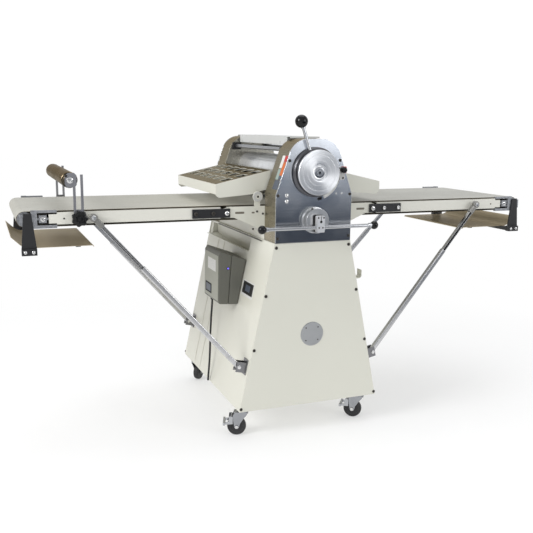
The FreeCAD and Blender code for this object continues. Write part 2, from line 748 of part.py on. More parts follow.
def pan_hanger(side, hand):
    """Hangers outside the forks, joined by a bar under the catch pan."""
    foot_in, foot_out, foot_low, foot_high = 1001, 1052, 753, 776
    outline = across(side, [
        (1015, 897), (1041, 897), (foot_out, foot_high), (foot_out, foot_low),
        (foot_in, foot_low), (foot_in, foot_high)])
    pieces = []
    for end, face in ENDS:
        tag = "%s_%s_hanger" % (hand, face)
        pieces += [
            prism(tag, outline, span(end, fork_y + dim.seam, dim.railY + 8)),
            box(tag + "_foot", span(side, foot_in, foot_out),
                span(end, dim.railY - 6, dim.railY + 16), (foot_low, foot_high))]
    pieces.append(box(hand + "_hanger_bar", span(side, 1008, 1030), even(dim.railY - 6),
                      (754, dim.panZ - 1)))
    return fuse(hand + "_pan_hanger", pieces)


def catch_pan(side, hand):
    """Sheet with a raised curved lip at its outer end and a hem at its inner end."""
    under, over = dim.panZ - 1, dim.panZ + 1
    hem_low = dim.panZ - 6
    return prism(hand + "_catch_pan", across(side, [
        (dim.panIn, hem_low), (dim.panIn + 2, hem_low), (dim.panIn + 3, under),
        (1033, under), (1047, dim.panZ + 4), (1057, dim.panZ + 15),
        (dim.panTipX, dim.panTipZ), (dim.panTipX - dim.skin, dim.panTipZ + 1),
        (1055, dim.panZ + 17), (1045.5, dim.panZ + 6), (1032.5, over), (dim.panIn, over)]),
        even(dim.panHalf))


# ---------------------------------------------------------------- rolling pin, left table
strap_in, strap_out = 292, 296
knob_axis = (-dim.holderX, dim.pivotZ)


def pin_holder(end, face):
    """Forked strap with a bearing plate for the rolling pin and a boss to the rail."""
    prong_half = 4.5
    thick = span(end, strap_in, strap_out)
    pieces = [box("%s_prong_%d" % (face, i), (x - prong_half, x + prong_half), thick,
                  (905, 1028)) for i, x in enumerate((-869, -843))]
    pieces += [
        box(face + "_strap", (-873.5, -838.5), thick, (858, 907)),
        prism(face + "_bearing_plate", [
            (-892, 984), (-868, 984), (-860, 992), (-860, 1026),
            (-868, 1034), (-888, 1034), (-900, 1025), (-900, 994)], thick),
        cyl(face + "_strap_boss", "y", 11, knob_axis,
            span(end, dim.railY + dim.seam, strap_in + 1))]
    return cut(face + "_holder", fuse(face + "_holder_raw", pieces), [
        cyl(face + "_pin_bore", "y", dim.pinJournal + dim.runFit, (-dim.pinX, dim.pinZ),
            span(end, 280, 300)),
        cyl(face + "_stud_bore", "y", dim.studRad + dim.runFit, knob_axis,
            span(end, 286, 300))])


def star_knob(end, face):
    """Clamping knob with a ring of lobes and a stud into the strap."""
    lobes, lobe_rad, lobe_ring = 7, 7, 23
    pieces = [
        cyl(face + "_star_core", "y", 27, knob_axis, span(end, strap_out + 0.5, 315)),
        cyl(face + "_star_stud", "y", dim.studRad, knob_axis, span(end, 287, 300))]
    for i in range(lobes):
        angle = 2 * math.pi * i / lobes
        at = (knob_axis[0] + lobe_ring * math.cos(angle),
              knob_axis[1] + lobe_ring * math.sin(angle))
        pieces.append(cyl("%s_star_lobe_%d" % (face, i), "y", lobe_rad, at,
                          span(end, 298, 312)))
    return fuse(face + "_star_knob", pieces)


# ---------------------------------------------------------------- struts
def unit(vector):
    return vector * (1.0 / vector.Length)


def strut_pose(side, end):
    """Length of a strut and its placement: origin at the lower pivot, local Z along it."""
    bottom = V(side * dim.strutBotX.value, end * dim.strutBotY.value, dim.strutBotZ.value)
    top = V(side * dim.strutTopX.value, end * dim.strutTopY.value, dim.strutTopZ.value)
    # The strut turns in the plane through its top at rest and its top with the table folded.
    fold = math.radians(dim.foldMax.value)
    arm_x = dim.strutTopX.value - dim.pivotX.value
    arm_z = dim.strutTopZ.value - dim.pivotZ.value
    folded = V(side * (dim.pivotX.value + arm_x * math.cos(fold) - arm_z * math.sin(fold)),
               top.y,
               dim.pivotZ.value + arm_x * math.sin(fold) + arm_z * math.cos(fold))
    x = unit((folded - bottom).cross(top - bottom))
    if x.y < 0:
        x = x * -1
    z = unit(top - bottom)
    y = z.cross(x)
    turn = FreeCAD.Rotation(FreeCAD.Matrix(
        x.x, y.x, z.x, 0, x.y, y.y, z.y, 0, x.z, y.z, z.z, 0, 0, 0, 0, 1))
    return num((top - bottom).Length), FreeCAD.Placement(bottom, turn)


def strut_tube(tag, pose):
    """Square tube, closed at its foot, with its pivot pin."""
    outer = dim.tubeSize / 2
    inner = outer - dim.tubeWall
    tube = box(tag + "_tube_out", even(outer), even(outer), (-12, dim.tubeLen))
    bore = box(tag + "_tube_bore", even(inner), even(inner), (14, dim.tubeLen + 5))
    part = fuse(tag + "_strut_tube", [
        cut(tag + "_tube_cut", tube, [bore]),
        cyl(tag + "_tube_pin", "x", 5, (0, 0), even(19))])
    part.Placement = pose
    return part


def strut_rod(end, tag, length, pose):
    """Sliding bar with its head, eye and bolt at the upper pivot."""
    half = dim.rodSize / 2
    part = fuse(tag + "_strut_rod", [
        box(tag + "_rod_bar", even(half), even(half), (dim.rodStart, length - 26)),
        box(tag + "_rod_head", even(9), even(11), (length - 44, length - 4)),
        cyl(tag + "_rod_eye", "x", 14, (0, length), even(9)),
        # The strut stands outside the rail, so its bolt is longer inwards.
        cyl(tag + "_rod_bolt", "x", 5, (0, length), span(-end, -13, 18.5))])
    part.Placement = pose
    return part


def strut_bracket(side, end, tag):
    """Clip of a base and two ears, bored for the strut's lower pivot."""
    ear_in, ear_out = 12.5, 15.5
    slope = math.atan(flank_slope.value)
    pieces = [box(tag + "_clip_base", (0, 4), even(20), (-34, 26))]
    pieces += [box("%s_clip_ear_%d" % (tag, i), (0, 42), span(way, ear_in, ear_out), (-26, 14))
               for i, way in enumerate((1, -1))]
    raw = fuse(tag + "_clip_raw", pieces)
    # Turned to lie on the leaning side panel, its back just clear of the sheet.
    turn = FreeCAD.Rotation(V(0, 1, 0), -math.degrees(slope))
    if side < 0:
        turn = FreeCAD.Rotation(V(0, 0, 1), 180).multiply(turn)
    back_x = flank(dim.strutBotZ).value + dim.seam.value / math.cos(slope)
    raw.Placement = FreeCAD.Placement(
        V(side * back_x, end * dim.strutBotY.value, dim.strutBotZ.value), turn)
    bore = cyl(tag + "_clip_bore", "y", 7, (side * dim.strutBotX, dim.strutBotZ),
               span(end, dim.strutBotY - 30, dim.strutBotY + 30))
    return cut(tag + "_clip", raw, [bore])


# ---------------------------------------------------------------- drive and electrics
def motor():
    """Geared motor on the floor pan."""
    case_front, case_back = -190, -60
    return fuse("motor", [
        cyl("motor_can", "y", 72, (-90, 215), (case_back, 190)),
        box("motor_foot", (-150, -30), (-40, 150), (floor_top, 150)),
        box("gear_case", (-160, 20), (case_front, case_back), (floor_top, 300)),
        cyl("drive_sprocket", "y", 40, (-20, 250), (-215, case_front))])


def control_box():
    """Box on the left side panel."""
    return prism("control_box", [
        (-183, 668), (-290, 706), (-300, 690), (-303, 498), (-297, 490), (-220.5, 484)],
        (-155, 40))


# ---------------------------------------------------------------- screws
# Screw centres, X and Z, on the end panels and on the head plates.
PANEL_SCREWS = ((152, 751), (192, 568), (238, 360), (290, 130))
HEAD_SCREWS = ((149, 786), (149, 947), (104, 1075))
# Further heads on the front head plate: X, Z, radius, height.
FRONT_SCREWS = ((-114, 947, 7, 4), (-114, 925, 7, 4), (90, 951, 3.5, 2), (114, 951, 3.5, 2))


def screw_heads():
    heads = []

    def screw(x, z, face_y, end, radius=5, height=3):
        heads.append(cyl("screw_%d" % len(heads), "y", radius, (x, z),
                         span(end, face_y, face_y + height)))

    for end, face in ENDS:
        for side, hand in SIDES:
            for x, z in PANEL_SCREWS:
                screw(side * x, z, dim.baseY, end)
            for x, z in HEAD_SCREWS:
                screw(side * x, z, dim.plateY, end)
    for x, z, radius, height in FRONT_SCREWS:
        screw(x, z, dim.plateY, -1, radius, height)
    return group("screw_heads", heads)


# ---------------------------------------------------------------- casters
# Local frame: +X along the trail, +Y along the axle, origin on the floor under the swivel.
# Direction of each trail, X and Y.
TRAIL_WAYS = {
    "left_front": (-0.94, 0.34), "right_front": (-0.8, 0.6),
    "left_rear": (0.65, 0.76), "right_rear": (0.3, 0.954),
}


def caster_wheel(tag):
    bevel = 3
    bore, rim, half = dim.axleRad + dim.runFit, dim.wheelRad, dim.wheelHalf
    wheel = lathe(tag + "_wheel_body", [
        (bore, -half), (rim - bevel, -half), (rim, -half + bevel),
        (rim, half - bevel), (rim - bevel, half), (bore, half)], (dim.trail, 0, rim))
    return group(tag + "_caster_wheel", [wheel])


def caster_fork(tag):
    """Swivel race, crown, two legs and the axle."""
    leg = [(-14, 90), (40, 90), (36, 30), (16, 30)]
    pieces = [
        cyl(tag + "_race", "z", 22, (0, 0), (98, dim.baseLow - 3 - dim.wideSeam)),
        box(tag + "_crown", (-20, 40), even(19), (84, 99))]
    pieces += [prism("%s_leg_%d" % (tag, i), leg, span(way, 15, 18))
               for i, way in enumerate((1, -1))]
    pieces.append(cyl(tag + "_axle", "y", dim.axleRad, (dim.trail, dim.wheelRad), even(21)))
    return fuse(tag + "_caster_fork", pieces)


def brake_pedal(tag):
    """Cross bar on two arms, hung from a hinge pin behind the fork legs."""
    def arms(name, x, z):
        return [box("%s_%s_%d" % (tag, name, i), x, span(way, 20, 23), z)
                for i, way in enumerate((1, -1))]

    pieces = arms("pedal_arm", (52, 78), (50, 58))
    pieces.append(box(tag + "_pedal_bar", (70, 80), even(34), (48, 60)))
    pieces += arms("hinge_arm", (41, 56), (50, 82))
    pieces.append(cyl(tag + "_hinge_pin", "y", 3, (46, 78), even(24)))
    return fuse(tag + "_brake_pedal", pieces)


# ---------------------------------------------------------------- assembly
node(base_frame())
node(end_panels())
node(group("side_panels", [side_panel(side, hand) for side, hand in SIDES]))
node(group("head_housings", [head_housing(end, face) for end, face in ENDS]))
node(group("head_plates", [head_plate(end, face) for end, face in ENDS]))
node(group("top_cover", [cover_sheet(), roller_shield()]))
node(tie_rods())
node(lower_scrapers())
for name, reach, z in (("lower", 330, dim.lowRollZ), ("upper", 325, dim.upRollZ)):
    node(roller(name + "_roller", dim.rollRad, dim.rollHalf, dim.shaftRad, reach, 0, z))
node(lift_carriage())
node(direction_hub())
node(direction_lever())
node(thickness_dial())
node(thickness_lever())
node(limit_stop())
for side, hand in SIDES:
    node(guard(side, hand))
node(group("table_brackets", [build(side, hand) for side, hand in SIDES
                              for build in (table_bracket, closing_wall)]))
node(group("inner_belts", [
    belt(hand + "_inner_belt", side * (dim.pivotX - dim.mitre), side * dim.driveX)
    for side, hand in SIDES]))
for side, hand in SIDES:
    corners = [corner for corner in CORNERS if corner[0] == side]
    node(belt_roller(hand + "_drive_roller", 284, side * dim.driveX))
    node(table_frame(side, hand))
    node(belt(hand + "_belt", side * (dim.pivotX + dim.mitre), side * dim.endX))
    node(group(hand + "_tension_forks", [tension_fork(*corner) for corner in corners]))
    node(group(hand + "_brackets",
               [link_set(*corner) for corner in corners] + [pan_hanger(side, hand)]))
    node(catch_pan(side, hand))
    node(belt_roller(hand + "_end_roller", dim.railY + 1, side * dim.endX))
node(group("pin_holders", [pin_holder(end, face) for end, face in ENDS]))
for end, face in ENDS:
    node(star_knob(end, face))
node(roller("rolling_pin", dim.pinRad, 284, dim.pinJournal, 296, -dim.pinX, dim.pinZ))
for side, end, tag in CORNERS:
    length, pose = strut_pose(side, end)
    node(strut_tube(tag, pose))
    node(strut_rod(end, tag, length, pose))
node(group("strut_brackets", [strut_bracket(*corner) for corner in CORNERS]))
node(motor())
node(control_box())
node(screw_heads())
for side, end, tag in CORNERS:
    way_x, way_y = TRAIL_WAYS[tag]
    spot = FreeCAD.Placement(
        V(side * dim.casterX.value, end * dim.casterY.value, 0),
        FreeCAD.Rotation(V(0, 0, 1), math.degrees(math.atan2(way_y, way_x))))
    pieces = [caster_wheel(tag), caster_fork(tag)]
    if end < 0:
        pieces.append(brake_pedal(tag))
    for piece in pieces:
        piece.Placement = spot
        node(piece)

doc.recompute()

# ---------------------------------------------------------------- checks and export
bad = [item.Name for item in doc.Objects
       if any(state in item.State for state in ("Invalid", "Error"))]
if bad:
    raise SystemExit("failed objects: %s" % bad)
if len({part.Label for part in NODES}) != len(NODES):
    raise SystemExit("labels clash")
for part in NODES:
    if part.Shape.isNull() or not part.Shape.isValid() or not part.Shape.Solids:
        raise SystemExit("bad shape: " + part.Label)
for part in NODES:
    part.Shape.exportStep(os.path.join("parts", part.Label + ".step"))
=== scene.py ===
# A dough sheeter on four casters. The base and head stand over the origin, the two folding belt
# tables reach out along -X (left) and +X (right), the dial and levers face the front (-Y), Z is up.
# Shapes are given in millimetres, the scene is in metres.
import json
import math

import bmesh
import bpy
from mathutils import Matrix, Vector


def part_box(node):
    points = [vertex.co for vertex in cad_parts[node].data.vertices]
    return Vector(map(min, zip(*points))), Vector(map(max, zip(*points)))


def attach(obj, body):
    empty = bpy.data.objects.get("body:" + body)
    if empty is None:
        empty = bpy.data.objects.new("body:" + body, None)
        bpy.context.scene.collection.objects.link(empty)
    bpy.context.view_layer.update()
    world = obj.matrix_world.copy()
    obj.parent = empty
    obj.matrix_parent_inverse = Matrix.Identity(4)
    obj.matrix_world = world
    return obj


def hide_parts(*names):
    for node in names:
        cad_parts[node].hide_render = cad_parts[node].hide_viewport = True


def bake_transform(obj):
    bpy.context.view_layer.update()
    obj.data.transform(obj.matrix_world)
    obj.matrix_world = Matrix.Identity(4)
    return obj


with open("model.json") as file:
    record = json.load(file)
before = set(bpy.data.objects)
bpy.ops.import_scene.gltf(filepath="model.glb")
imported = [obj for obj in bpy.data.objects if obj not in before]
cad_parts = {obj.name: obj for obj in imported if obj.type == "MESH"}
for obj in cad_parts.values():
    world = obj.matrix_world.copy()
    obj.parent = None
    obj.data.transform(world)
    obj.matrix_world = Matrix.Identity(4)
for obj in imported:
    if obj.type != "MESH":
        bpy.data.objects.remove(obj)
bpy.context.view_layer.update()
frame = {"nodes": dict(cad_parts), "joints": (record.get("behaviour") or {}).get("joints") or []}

NODES = frame["nodes"]
JOINTS = {joint["name"]: joint for joint in frame["joints"]}
MM = 0.001
SIDES = ((-1, "left"), (1, "right"))
ENDS = ((-1, "front"), (1, "rear"))
CORNERS = [(side, end, f"{side_name}_{end_name}_")
           for side, side_name in SIDES for end, end_name in ENDS]


# ---------------------------------------------------------------- sizes read from the frame
def span(node):
    """Lowest and highest corner of a CAD node."""
    low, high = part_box(node)
    return [v / MM for v in low], [v / MM for v in high]


def middle(node):
    low, high = span(node)
    return [(a + b) / 2 for a, b in zip(low, high)]


def half_depth(node):
    return max(abs(corner[1]) for corner in span(node))


PLATE_Y = half_depth("head_plates")
PLATE_FRONT = -PLATE_Y
BASE_Y = half_depth("end_panels")
DIAL_LOW, DIAL_HIGH = span("thickness_dial")
DIAL_X, _, DIAL_Z = middle("thickness_dial")
DIAL_FACE_Y = DIAL_LOW[1] + 3
DIAL_RADIUS = (DIAL_HIGH[0] - DIAL_LOW[0]) / 2
BELT_TOP = span("right_belt")[1][2]
END_X, _, AXIS_Z = middle("right_end_roller")
DRIVE_X = middle("right_drive_roller")[0]
FOLD_X, _, FOLD_Z = [v / MM for v in JOINTS["right_table_fold"]["pos_m"]]


# ---------------------------------------------------------------- material building
def shade(rgb, factor):
    return tuple(v * factor for v in rgb)


class Look:
    """A node material. Most methods return a socket, ready to be mixed or set on the shader."""

    def __init__(self, name, principled=True):
        self.material = bpy.data.materials.new(name)
        self.material.use_nodes = True
        self.tree = self.material.node_tree
        self.tree.nodes.clear()
        self.surface = self.node("ShaderNodeOutputMaterial").inputs[0]
        self.coords = self.node("ShaderNodeTexCoord").outputs["Object"]
        self.bumped = None
        if principled:
            self.shader = self.node("ShaderNodeBsdfPrincipled")
            self.put(self.surface, self.shader.outputs[0])

    def node(self, kind, inputs=None, **settings):
        made = self.tree.nodes.new(kind)
        for key, value in settings.items():
            setattr(made, key, value)
        for key, value in (inputs or {}).items():
            self.put(made.inputs[key], value)
        return made

    def put(self, socket, value):
        if isinstance(value, bpy.types.NodeSocket):
            self.tree.links.new(value, socket)
        elif isinstance(value, tuple) and len(socket.default_value) == 4:
            socket.default_value = (*value, 1)
        else:
            socket.default_value = value

    def set(self, values):
        for name, value in values.items():
            self.put(self.shader.inputs[name], value)

    def split(self, vector):
        return self.node("ShaderNodeSeparateXYZ", {0: vector}).outputs

    def noise(self, scale, detail=3, rough=0.55, stretch=(1, 1, 1)):
        mapping = self.node("ShaderNodeMapping", {"Vector": self.coords, "Scale": stretch})
        inputs = {"Vector": mapping.outputs[0], "Scale": scale, "Detail": detail,
                  "Roughness": rough}
        return self.node("ShaderNodeTexNoise", inputs).outputs[0]

    def wave(self, scale, axis, distortion):
        inputs = {"Vector": self.coords, "Scale": scale, "Distortion": distortion}
        made = self.node("ShaderNodeTexWave", inputs, wave_type="BANDS", bands_direction=axis)
        return made.outputs["Fac"]

    def ramp(self, pattern, stops):
        """Stops are (position, grey level or colour)."""
        made = self.node("ShaderNodeValToRGB", {0: pattern})
        elements = made.color_ramp.elements
        while len(elements) < len(stops):
            elements.new(0.5)
        for element, (position, tone) in zip(elements, stops):
            element.position = position
            element.color = (*tone, 1) if isinstance(tone, tuple) else (tone, tone, tone, 1)
        return made.outputs[0]

    def mask(self, pattern, start, end, peak=1.0):
        """0 where the pattern is under start, rising to peak at end."""
        return self.ramp(pattern, [(start, 0.0), (end, peak)])

    def mix(self, amount, first, second, blend="MIX"):
        inputs = {0: amount, 6: first, 7: second}
        return self.node("ShaderNodeMix", inputs, data_type="RGBA", blend_type=blend).outputs[2]

    def tones(self, amount, rgb, low, high):
        """From the colour shaded by low to the colour shaded by high."""
        return self.mix(amount, shade(rgb, low), shade(rgb, high))

    def calc(self, operation, first, second=0.5):
        return self.node("ShaderNodeMath", {0: first, 1: second}, operation=operation).outputs[0]

    def remap(self, value, to=(0, 1), source=(0, 1)):
        inputs = {"Value": value, "From Min": source[0], "From Max": source[1],
                  "To Min": to[0], "To Max": to[1]}
        return self.node("ShaderNodeMapRange", inputs, clamp=True).outputs[0]

    def bump(self, height, strength, distance):
        """Adds a bump on top of the earlier ones."""
        inputs = {"Height": height, "Strength": strength, "Distance": distance}
        if self.bumped is not None:
            inputs["Normal"] = self.bumped
        self.bumped = self.node("ShaderNodeBump", inputs).outputs[0]
        self.set({"Normal": self.bumped})

    def true_normal(self):
        return self.node("ShaderNodeNewGeometry").outputs["Normal"]

    def edges(self, radius=1.6):
        """1 along edges, 0 on flats: how far the rounded normal leans from the true one."""
        rounded_normal = self.node("ShaderNodeBevel", {"Radius": radius * MM}, samples=4)
        dot = self.node("ShaderNodeVectorMath",
                        {0: rounded_normal.outputs[0], 1: self.true_normal()},
                        operation="DOT_PRODUCT")
        lean = self.calc("SUBTRACT", 1.0, dot.outputs["Value"])
        return self.remap(lean, source=(0.01, 0.16))

    def facing_up(self, source):
        return self.remap(self.split(self.true_normal())["Z"], source=source)

    def height_between(self, low, high):
        return self.remap(self.split(self.coords)["Z"], source=(low, high))


def paint(name, rgb, rough=0.36, peel=0.10, chip=None, coat=0.10):
    """Powder coat with faint clouds and specks, rubbed edges and orange peel."""
    look = Look(name)
    cloud = look.ramp(look.noise(scale=3), [(0.3, shade(rgb, 0.985)), (0.7, shade(rgb, 1.01))])
    specks = look.mask(look.noise(scale=420, detail=2), start=0.35, end=0.75, peak=0.25)
    base = look.mix(specks, cloud, shade(rgb, 0.95))
    patches = look.mask(look.noise(scale=60, detail=5), start=0.42, end=0.62)
    rub = look.calc("MULTIPLY", look.edges(), patches)
    look.set({
        "Base Color": look.mix(look.calc("MULTIPLY", rub, 0.55), base, chip or shade(rgb, 0.62)),
        "Roughness": look.remap(look.noise(scale=26, detail=4), to=(rough - 0.06, rough + 0.09)),
        "Coat Weight": coat,
        "Coat Roughness": 0.22,
    })
    look.bump(look.noise(scale=520, detail=2), strength=peel, distance=0.00035)
    look.bump(look.noise(scale=9, detail=2), strength=0.03, distance=0.002)
    return look.material


def brushed(name, rgb, rough=0.26, stretch=(6, 900, 900), aniso=0.55, smudge=0.10, reflection_tint=None,
            reflection_tint_facing=(0.0, 0.9), mottle=0.82, rim=None, metal=1.0, cloud_scale=14,
            reflection_fade_heights=None, reflection_fade_tones=None):
    """Metal with brush lines. Noise runs long on the axis where stretch is small.

    The tint is a painted reflection on faces leaning up within the facing range, rim tints
    the specular, mottle shades the clouds, and the height ramp paints a reflection darker lower
    down, by height in metres.
    """
    look = Look(name)
    lines = look.noise(scale=1.0, detail=6, rough=0.7, stretch=stretch)
    cloud = look.noise(scale=cloud_scale, detail=5, rough=0.6)
    base = look.tones(look.mask(lines, start=0.25, end=0.75), rgb, low=0.95, high=1.04)
    # Painted reflection: tints faces by how far they lean up.
    if reflection_tint:
        base = look.mix(look.facing_up(reflection_tint_facing), base, reflection_tint)
    blotches = look.mask(cloud, start=0.4, end=0.75, peak=0.5)
    base = look.mix(blotches, base, shade(rgb, mottle))
    # Painted reflection: darker lower down, by height in metres.
    if reflection_fade_heights:
        reflection_fade = look.ramp(look.height_between(*reflection_fade_heights), reflection_fade_tones)
        base = look.mix(1.0, base, reflection_fade, blend="MULTIPLY")
    if rim:
        look.set({"Specular Tint": rim})
    line_rough = look.remap(lines, to=(rough - 0.05, rough + 0.06))
    smudge_rough = look.remap(cloud, to=(-smudge / 2, smudge))
    look.set({"Base Color": base, "Metallic": metal, "Anisotropic": aniso,
              "Roughness": look.calc("ADD", line_rough, smudge_rough)})
    look.bump(lines, strength=0.05, distance=0.00006)
    look.bump(look.noise(scale=22, detail=2), strength=0.02, distance=0.001)
    return look.material


def chrome(name, rgb, rough, waves=1.0):
    look = Look(name)
    cloud = look.noise(scale=40, detail=5, rough=0.6)
    blotches = look.mask(cloud, start=0.45, end=0.8, peak=0.6)
    look.set({"Base Color": look.mix(blotches, rgb, shade(rgb, 0.80)), "Metallic": 1.0,
              "Roughness": look.remap(cloud, to=(rough - 0.03, rough + 0.10))})
    look.bump(look.noise(scale=900, detail=2), strength=0.02 * waves, distance=0.0001)
    look.bump(look.noise(scale=60, detail=2), strength=0.03 * waves, distance=0.0006)
    return look.material


def gloss(name, rgb, rough):
    """Shiny plastic with lighter specks."""
    look = Look(name)
    specks = look.mask(look.noise(scale=240), start=0.4, end=0.8, peak=0.6)
    look.set({
        "Base Color": look.mix(specks, rgb, tuple(v + 0.010 for v in rgb)),
        "Roughness": look.remap(look.noise(scale=70, detail=5), to=(rough - 0.05, rough + 0.10)),
        "Specular IOR Level": 0.28,
    })
    look.bump(look.noise(scale=700), strength=0.03, distance=0.0002)
    return look.material


def matt(name, rgb, rough=0.55, grain=0.25, scale=900):
    look = Look(name)
    specks = look.mask(look.noise(scale=scale * 0.6), start=0.35, end=0.7)
    look.set({
        "Base Color": look.tones(specks, rgb, low=0.90, high=1.08),
        "Roughness": look.remap(look.noise(scale=45, detail=4), to=(rough - 0.08, rough + 0.10)),
    })
    look.bump(look.noise(scale=scale), strength=grain, distance=0.00025)
    return look.material


def label(name, rgb, rough=0.35):
    return matt(name, rgb, rough=rough, grain=0.06, scale=500)


def cast(name, rgb):
    """Rough casting, lighter along its edges."""
    look = Look(name)
    mottle = look.noise(scale=190, detail=6, rough=0.65)
    base = look.tones(look.mask(mottle, start=0.3, end=0.7), rgb, low=0.62, high=1.2)
    look.set({"Base Color": look.mix(look.edges(radius=1.2), base, shade(rgb, 1.5)),
              "Metallic": 0.75, "Roughness": look.remap(mottle, to=(0.34, 0.58))})
    look.bump(look.noise(scale=330, detail=5), strength=0.35, distance=0.0006)
    return look.material


def belt_cloth(name, rgb):
    """Woven cloth with flour on it, long worn streaks, and painted shade that browns the left belt
    towards the head and the right belt a little.
    """
    look = Look(name)
    warp, weft = [look.wave(scale=150, axis=axis, distortion=0.4) for axis in "XY"]
    weave = look.calc("MULTIPLY", warp, weft)
    flour_noise = look.noise(scale=5, detail=6, rough=0.65, stretch=(1, 1.6, 1))
    flour = look.mask(flour_noise, start=0.42, end=0.72)
    base = look.tones(weave, rgb, low=0.93, high=1.03)
    base = look.mix(look.calc("MULTIPLY", flour, 0.22), base, (0.80, 0.79, 0.75))
    worn_noise = look.noise(scale=3.0, detail=4, rough=0.6, stretch=(0.25, 3.0, 1))
    worn = look.mask(worn_noise, start=0.5, end=0.8, peak=0.45)
    # Painted shade: browner on the left belt, most towards the head, and a quarter as much on the
    # right.
    x = look.split(look.coords)["X"]
    painted_shade_amount = look.calc("MULTIPLY", look.remap(x, to=(0.45, 1.0), source=(-1.05, -0.35)),
                          look.remap(x, to=(1.0, 0.25), source=(-0.1, 0.1)))
    base = look.mix(look.calc("MULTIPLY", painted_shade_amount, 0.85), base, (0.36, 0.345, 0.275))
    look.set({"Base Color": look.mix(worn, base, shade(rgb, 0.84)), "Sheen Weight": 0.12,
              "Roughness": look.remap(look.noise(scale=30, detail=4), to=(0.38, 0.58))})
    look.bump(weave, strength=0.22, distance=0.0003)
    ripple = look.noise(scale=6, detail=2, rough=0.5, stretch=(0.5, 1, 1))
    look.bump(ripple, strength=0.05, distance=0.003)
    return look.material


def turned(name, rgb, rough):
    """Lathe-faced metal: rings about the dial axis, with the bow-tie highlight they give."""
    look = Look(name)
    place = look.split(look.coords)
    across = look.calc("SUBTRACT", place["X"], DIAL_X * MM)
    above = look.calc("SUBTRACT", place["Z"], DIAL_Z * MM)
    squares = [look.calc("MULTIPLY", offset, offset) for offset in (across, above)]
    radius = look.calc("SQRT", look.calc("ADD", *squares))
    along_radius = look.node("ShaderNodeCombineXYZ", {0: radius}).outputs[0]
    rings = look.node("ShaderNodeTexNoise",
                      {"Scale": 900, "Detail": 5, "Vector": along_radius}).outputs[0]
    tangent = look.node("ShaderNodeTangent", direction_type="RADIAL", axis="Y")
    look.set({"Tangent": tangent.outputs[0], "Metallic": 1.0, "Anisotropic": 0.8,
              "Base Color": look.tones(look.mask(rings, start=0.3, end=0.7), rgb, 0.84, 1.10),
              "Roughness": look.remap(rings, to=(rough - 0.05, rough + 0.08))})
    look.bump(rings, strength=0.15, distance=0.00005)
    return look.material


def pilot_lamp():
    look = Look("pilot_lamp")
    base = look.mix(look.noise(scale=200), (0.10, 0.08, 0.55), (0.16, 0.12, 0.75))
    look.set({"Base Color": base, "Emission Color": (0.18, 0.14, 0.95),
              "Emission Strength": 1.2, "Roughness": 0.2})
    return look.material


# ---------------------------------------------------------------- materials
CREAM = paint("cream_powder_coat", (0.66, 0.655, 0.58))
CREAM_LIGHT = paint("cream_rail_paint", (0.70, 0.69, 0.625), rough=0.32)
COVER = paint("cover_paint", (0.57, 0.58, 0.57), rough=0.28)
BLACK = paint("black_bracket_paint", (0.009, 0.009, 0.011), rough=0.42, peel=0.12,
              chip=(0.05, 0.05, 0.055), coat=0.0)

# Painted reflection: a tan tint on the faces that lean up.
FLANK = brushed("flank_polish", (0.40, 0.385, 0.335), rough=0.24, stretch=(600, 5, 600),
                aniso=0.35, reflection_tint=(0.275, 0.20, 0.11), reflection_tint_facing=(-0.05, 2.6),
                rim=(0.66, 0.58, 0.44))
# Painted reflection: the head plates are lighter at the top and darker lower down.
PLATE = brushed("head_plate_brushed", (0.90, 0.93, 0.98), rough=0.12, stretch=(6, 700, 700),
                aniso=0.25, smudge=0.24, mottle=0.52, cloud_scale=7, reflection_fade_heights=(0.77, 1.16),
                reflection_fade_tones=[(0.0, 0.46), (0.25, 0.62), (0.48, 0.88), (1.0, 1.0)])
STEEL = brushed("satin_steel", (0.42, 0.43, 0.45), stretch=(700, 6, 700), aniso=0.4)
STAINLESS = brushed("strap_stainless", (0.34, 0.34, 0.36), rough=0.30, stretch=(600, 600, 8),
                    aniso=0.4)
# Painted reflection: a tan tint on the faces that lean up.
TAN_STEEL = brushed("pan_polish", (0.58, 0.495, 0.35), rough=0.34, stretch=(200, 5, 200),
                    aniso=0.2, reflection_tint=(0.56, 0.475, 0.33), mottle=0.86, rim=(0.66, 0.57, 0.42),
                    metal=0.45, cloud_scale=5)
# Painted reflection and shade: dark tan steel for the top and under faces of the table rails and
# brackets.
REFLECTION_SHADE_STEEL = brushed("steel_painted_reflection_and_shade", (0.17, 0.14, 0.085), rough=0.30, stretch=(5, 900, 900), aniso=0.3)
GUARD_TOP = brushed("guard_top_polish", (0.30, 0.255, 0.175), rough=0.19, stretch=(7, 300, 300),
                    aniso=0.3, smudge=0.16, rim=(0.46, 0.40, 0.28), metal=0.85)
# Painted reflection: a tan tint on the faces that lean up.
PIN = brushed("pin_steel", (0.115, 0.115, 0.10), rough=0.24, stretch=(160, 3, 160), aniso=0.3,
              reflection_tint=(0.27, 0.19, 0.10), reflection_tint_facing=(-0.4, 1.0), rim=(0.42, 0.35, 0.25))
SHIELD = brushed("shield_polish", (0.90, 0.91, 0.92), rough=0.18, stretch=(34, 1.2, 34),
                 aniso=0.2, smudge=0.12, mottle=0.45, cloud_scale=9, metal=0.72)
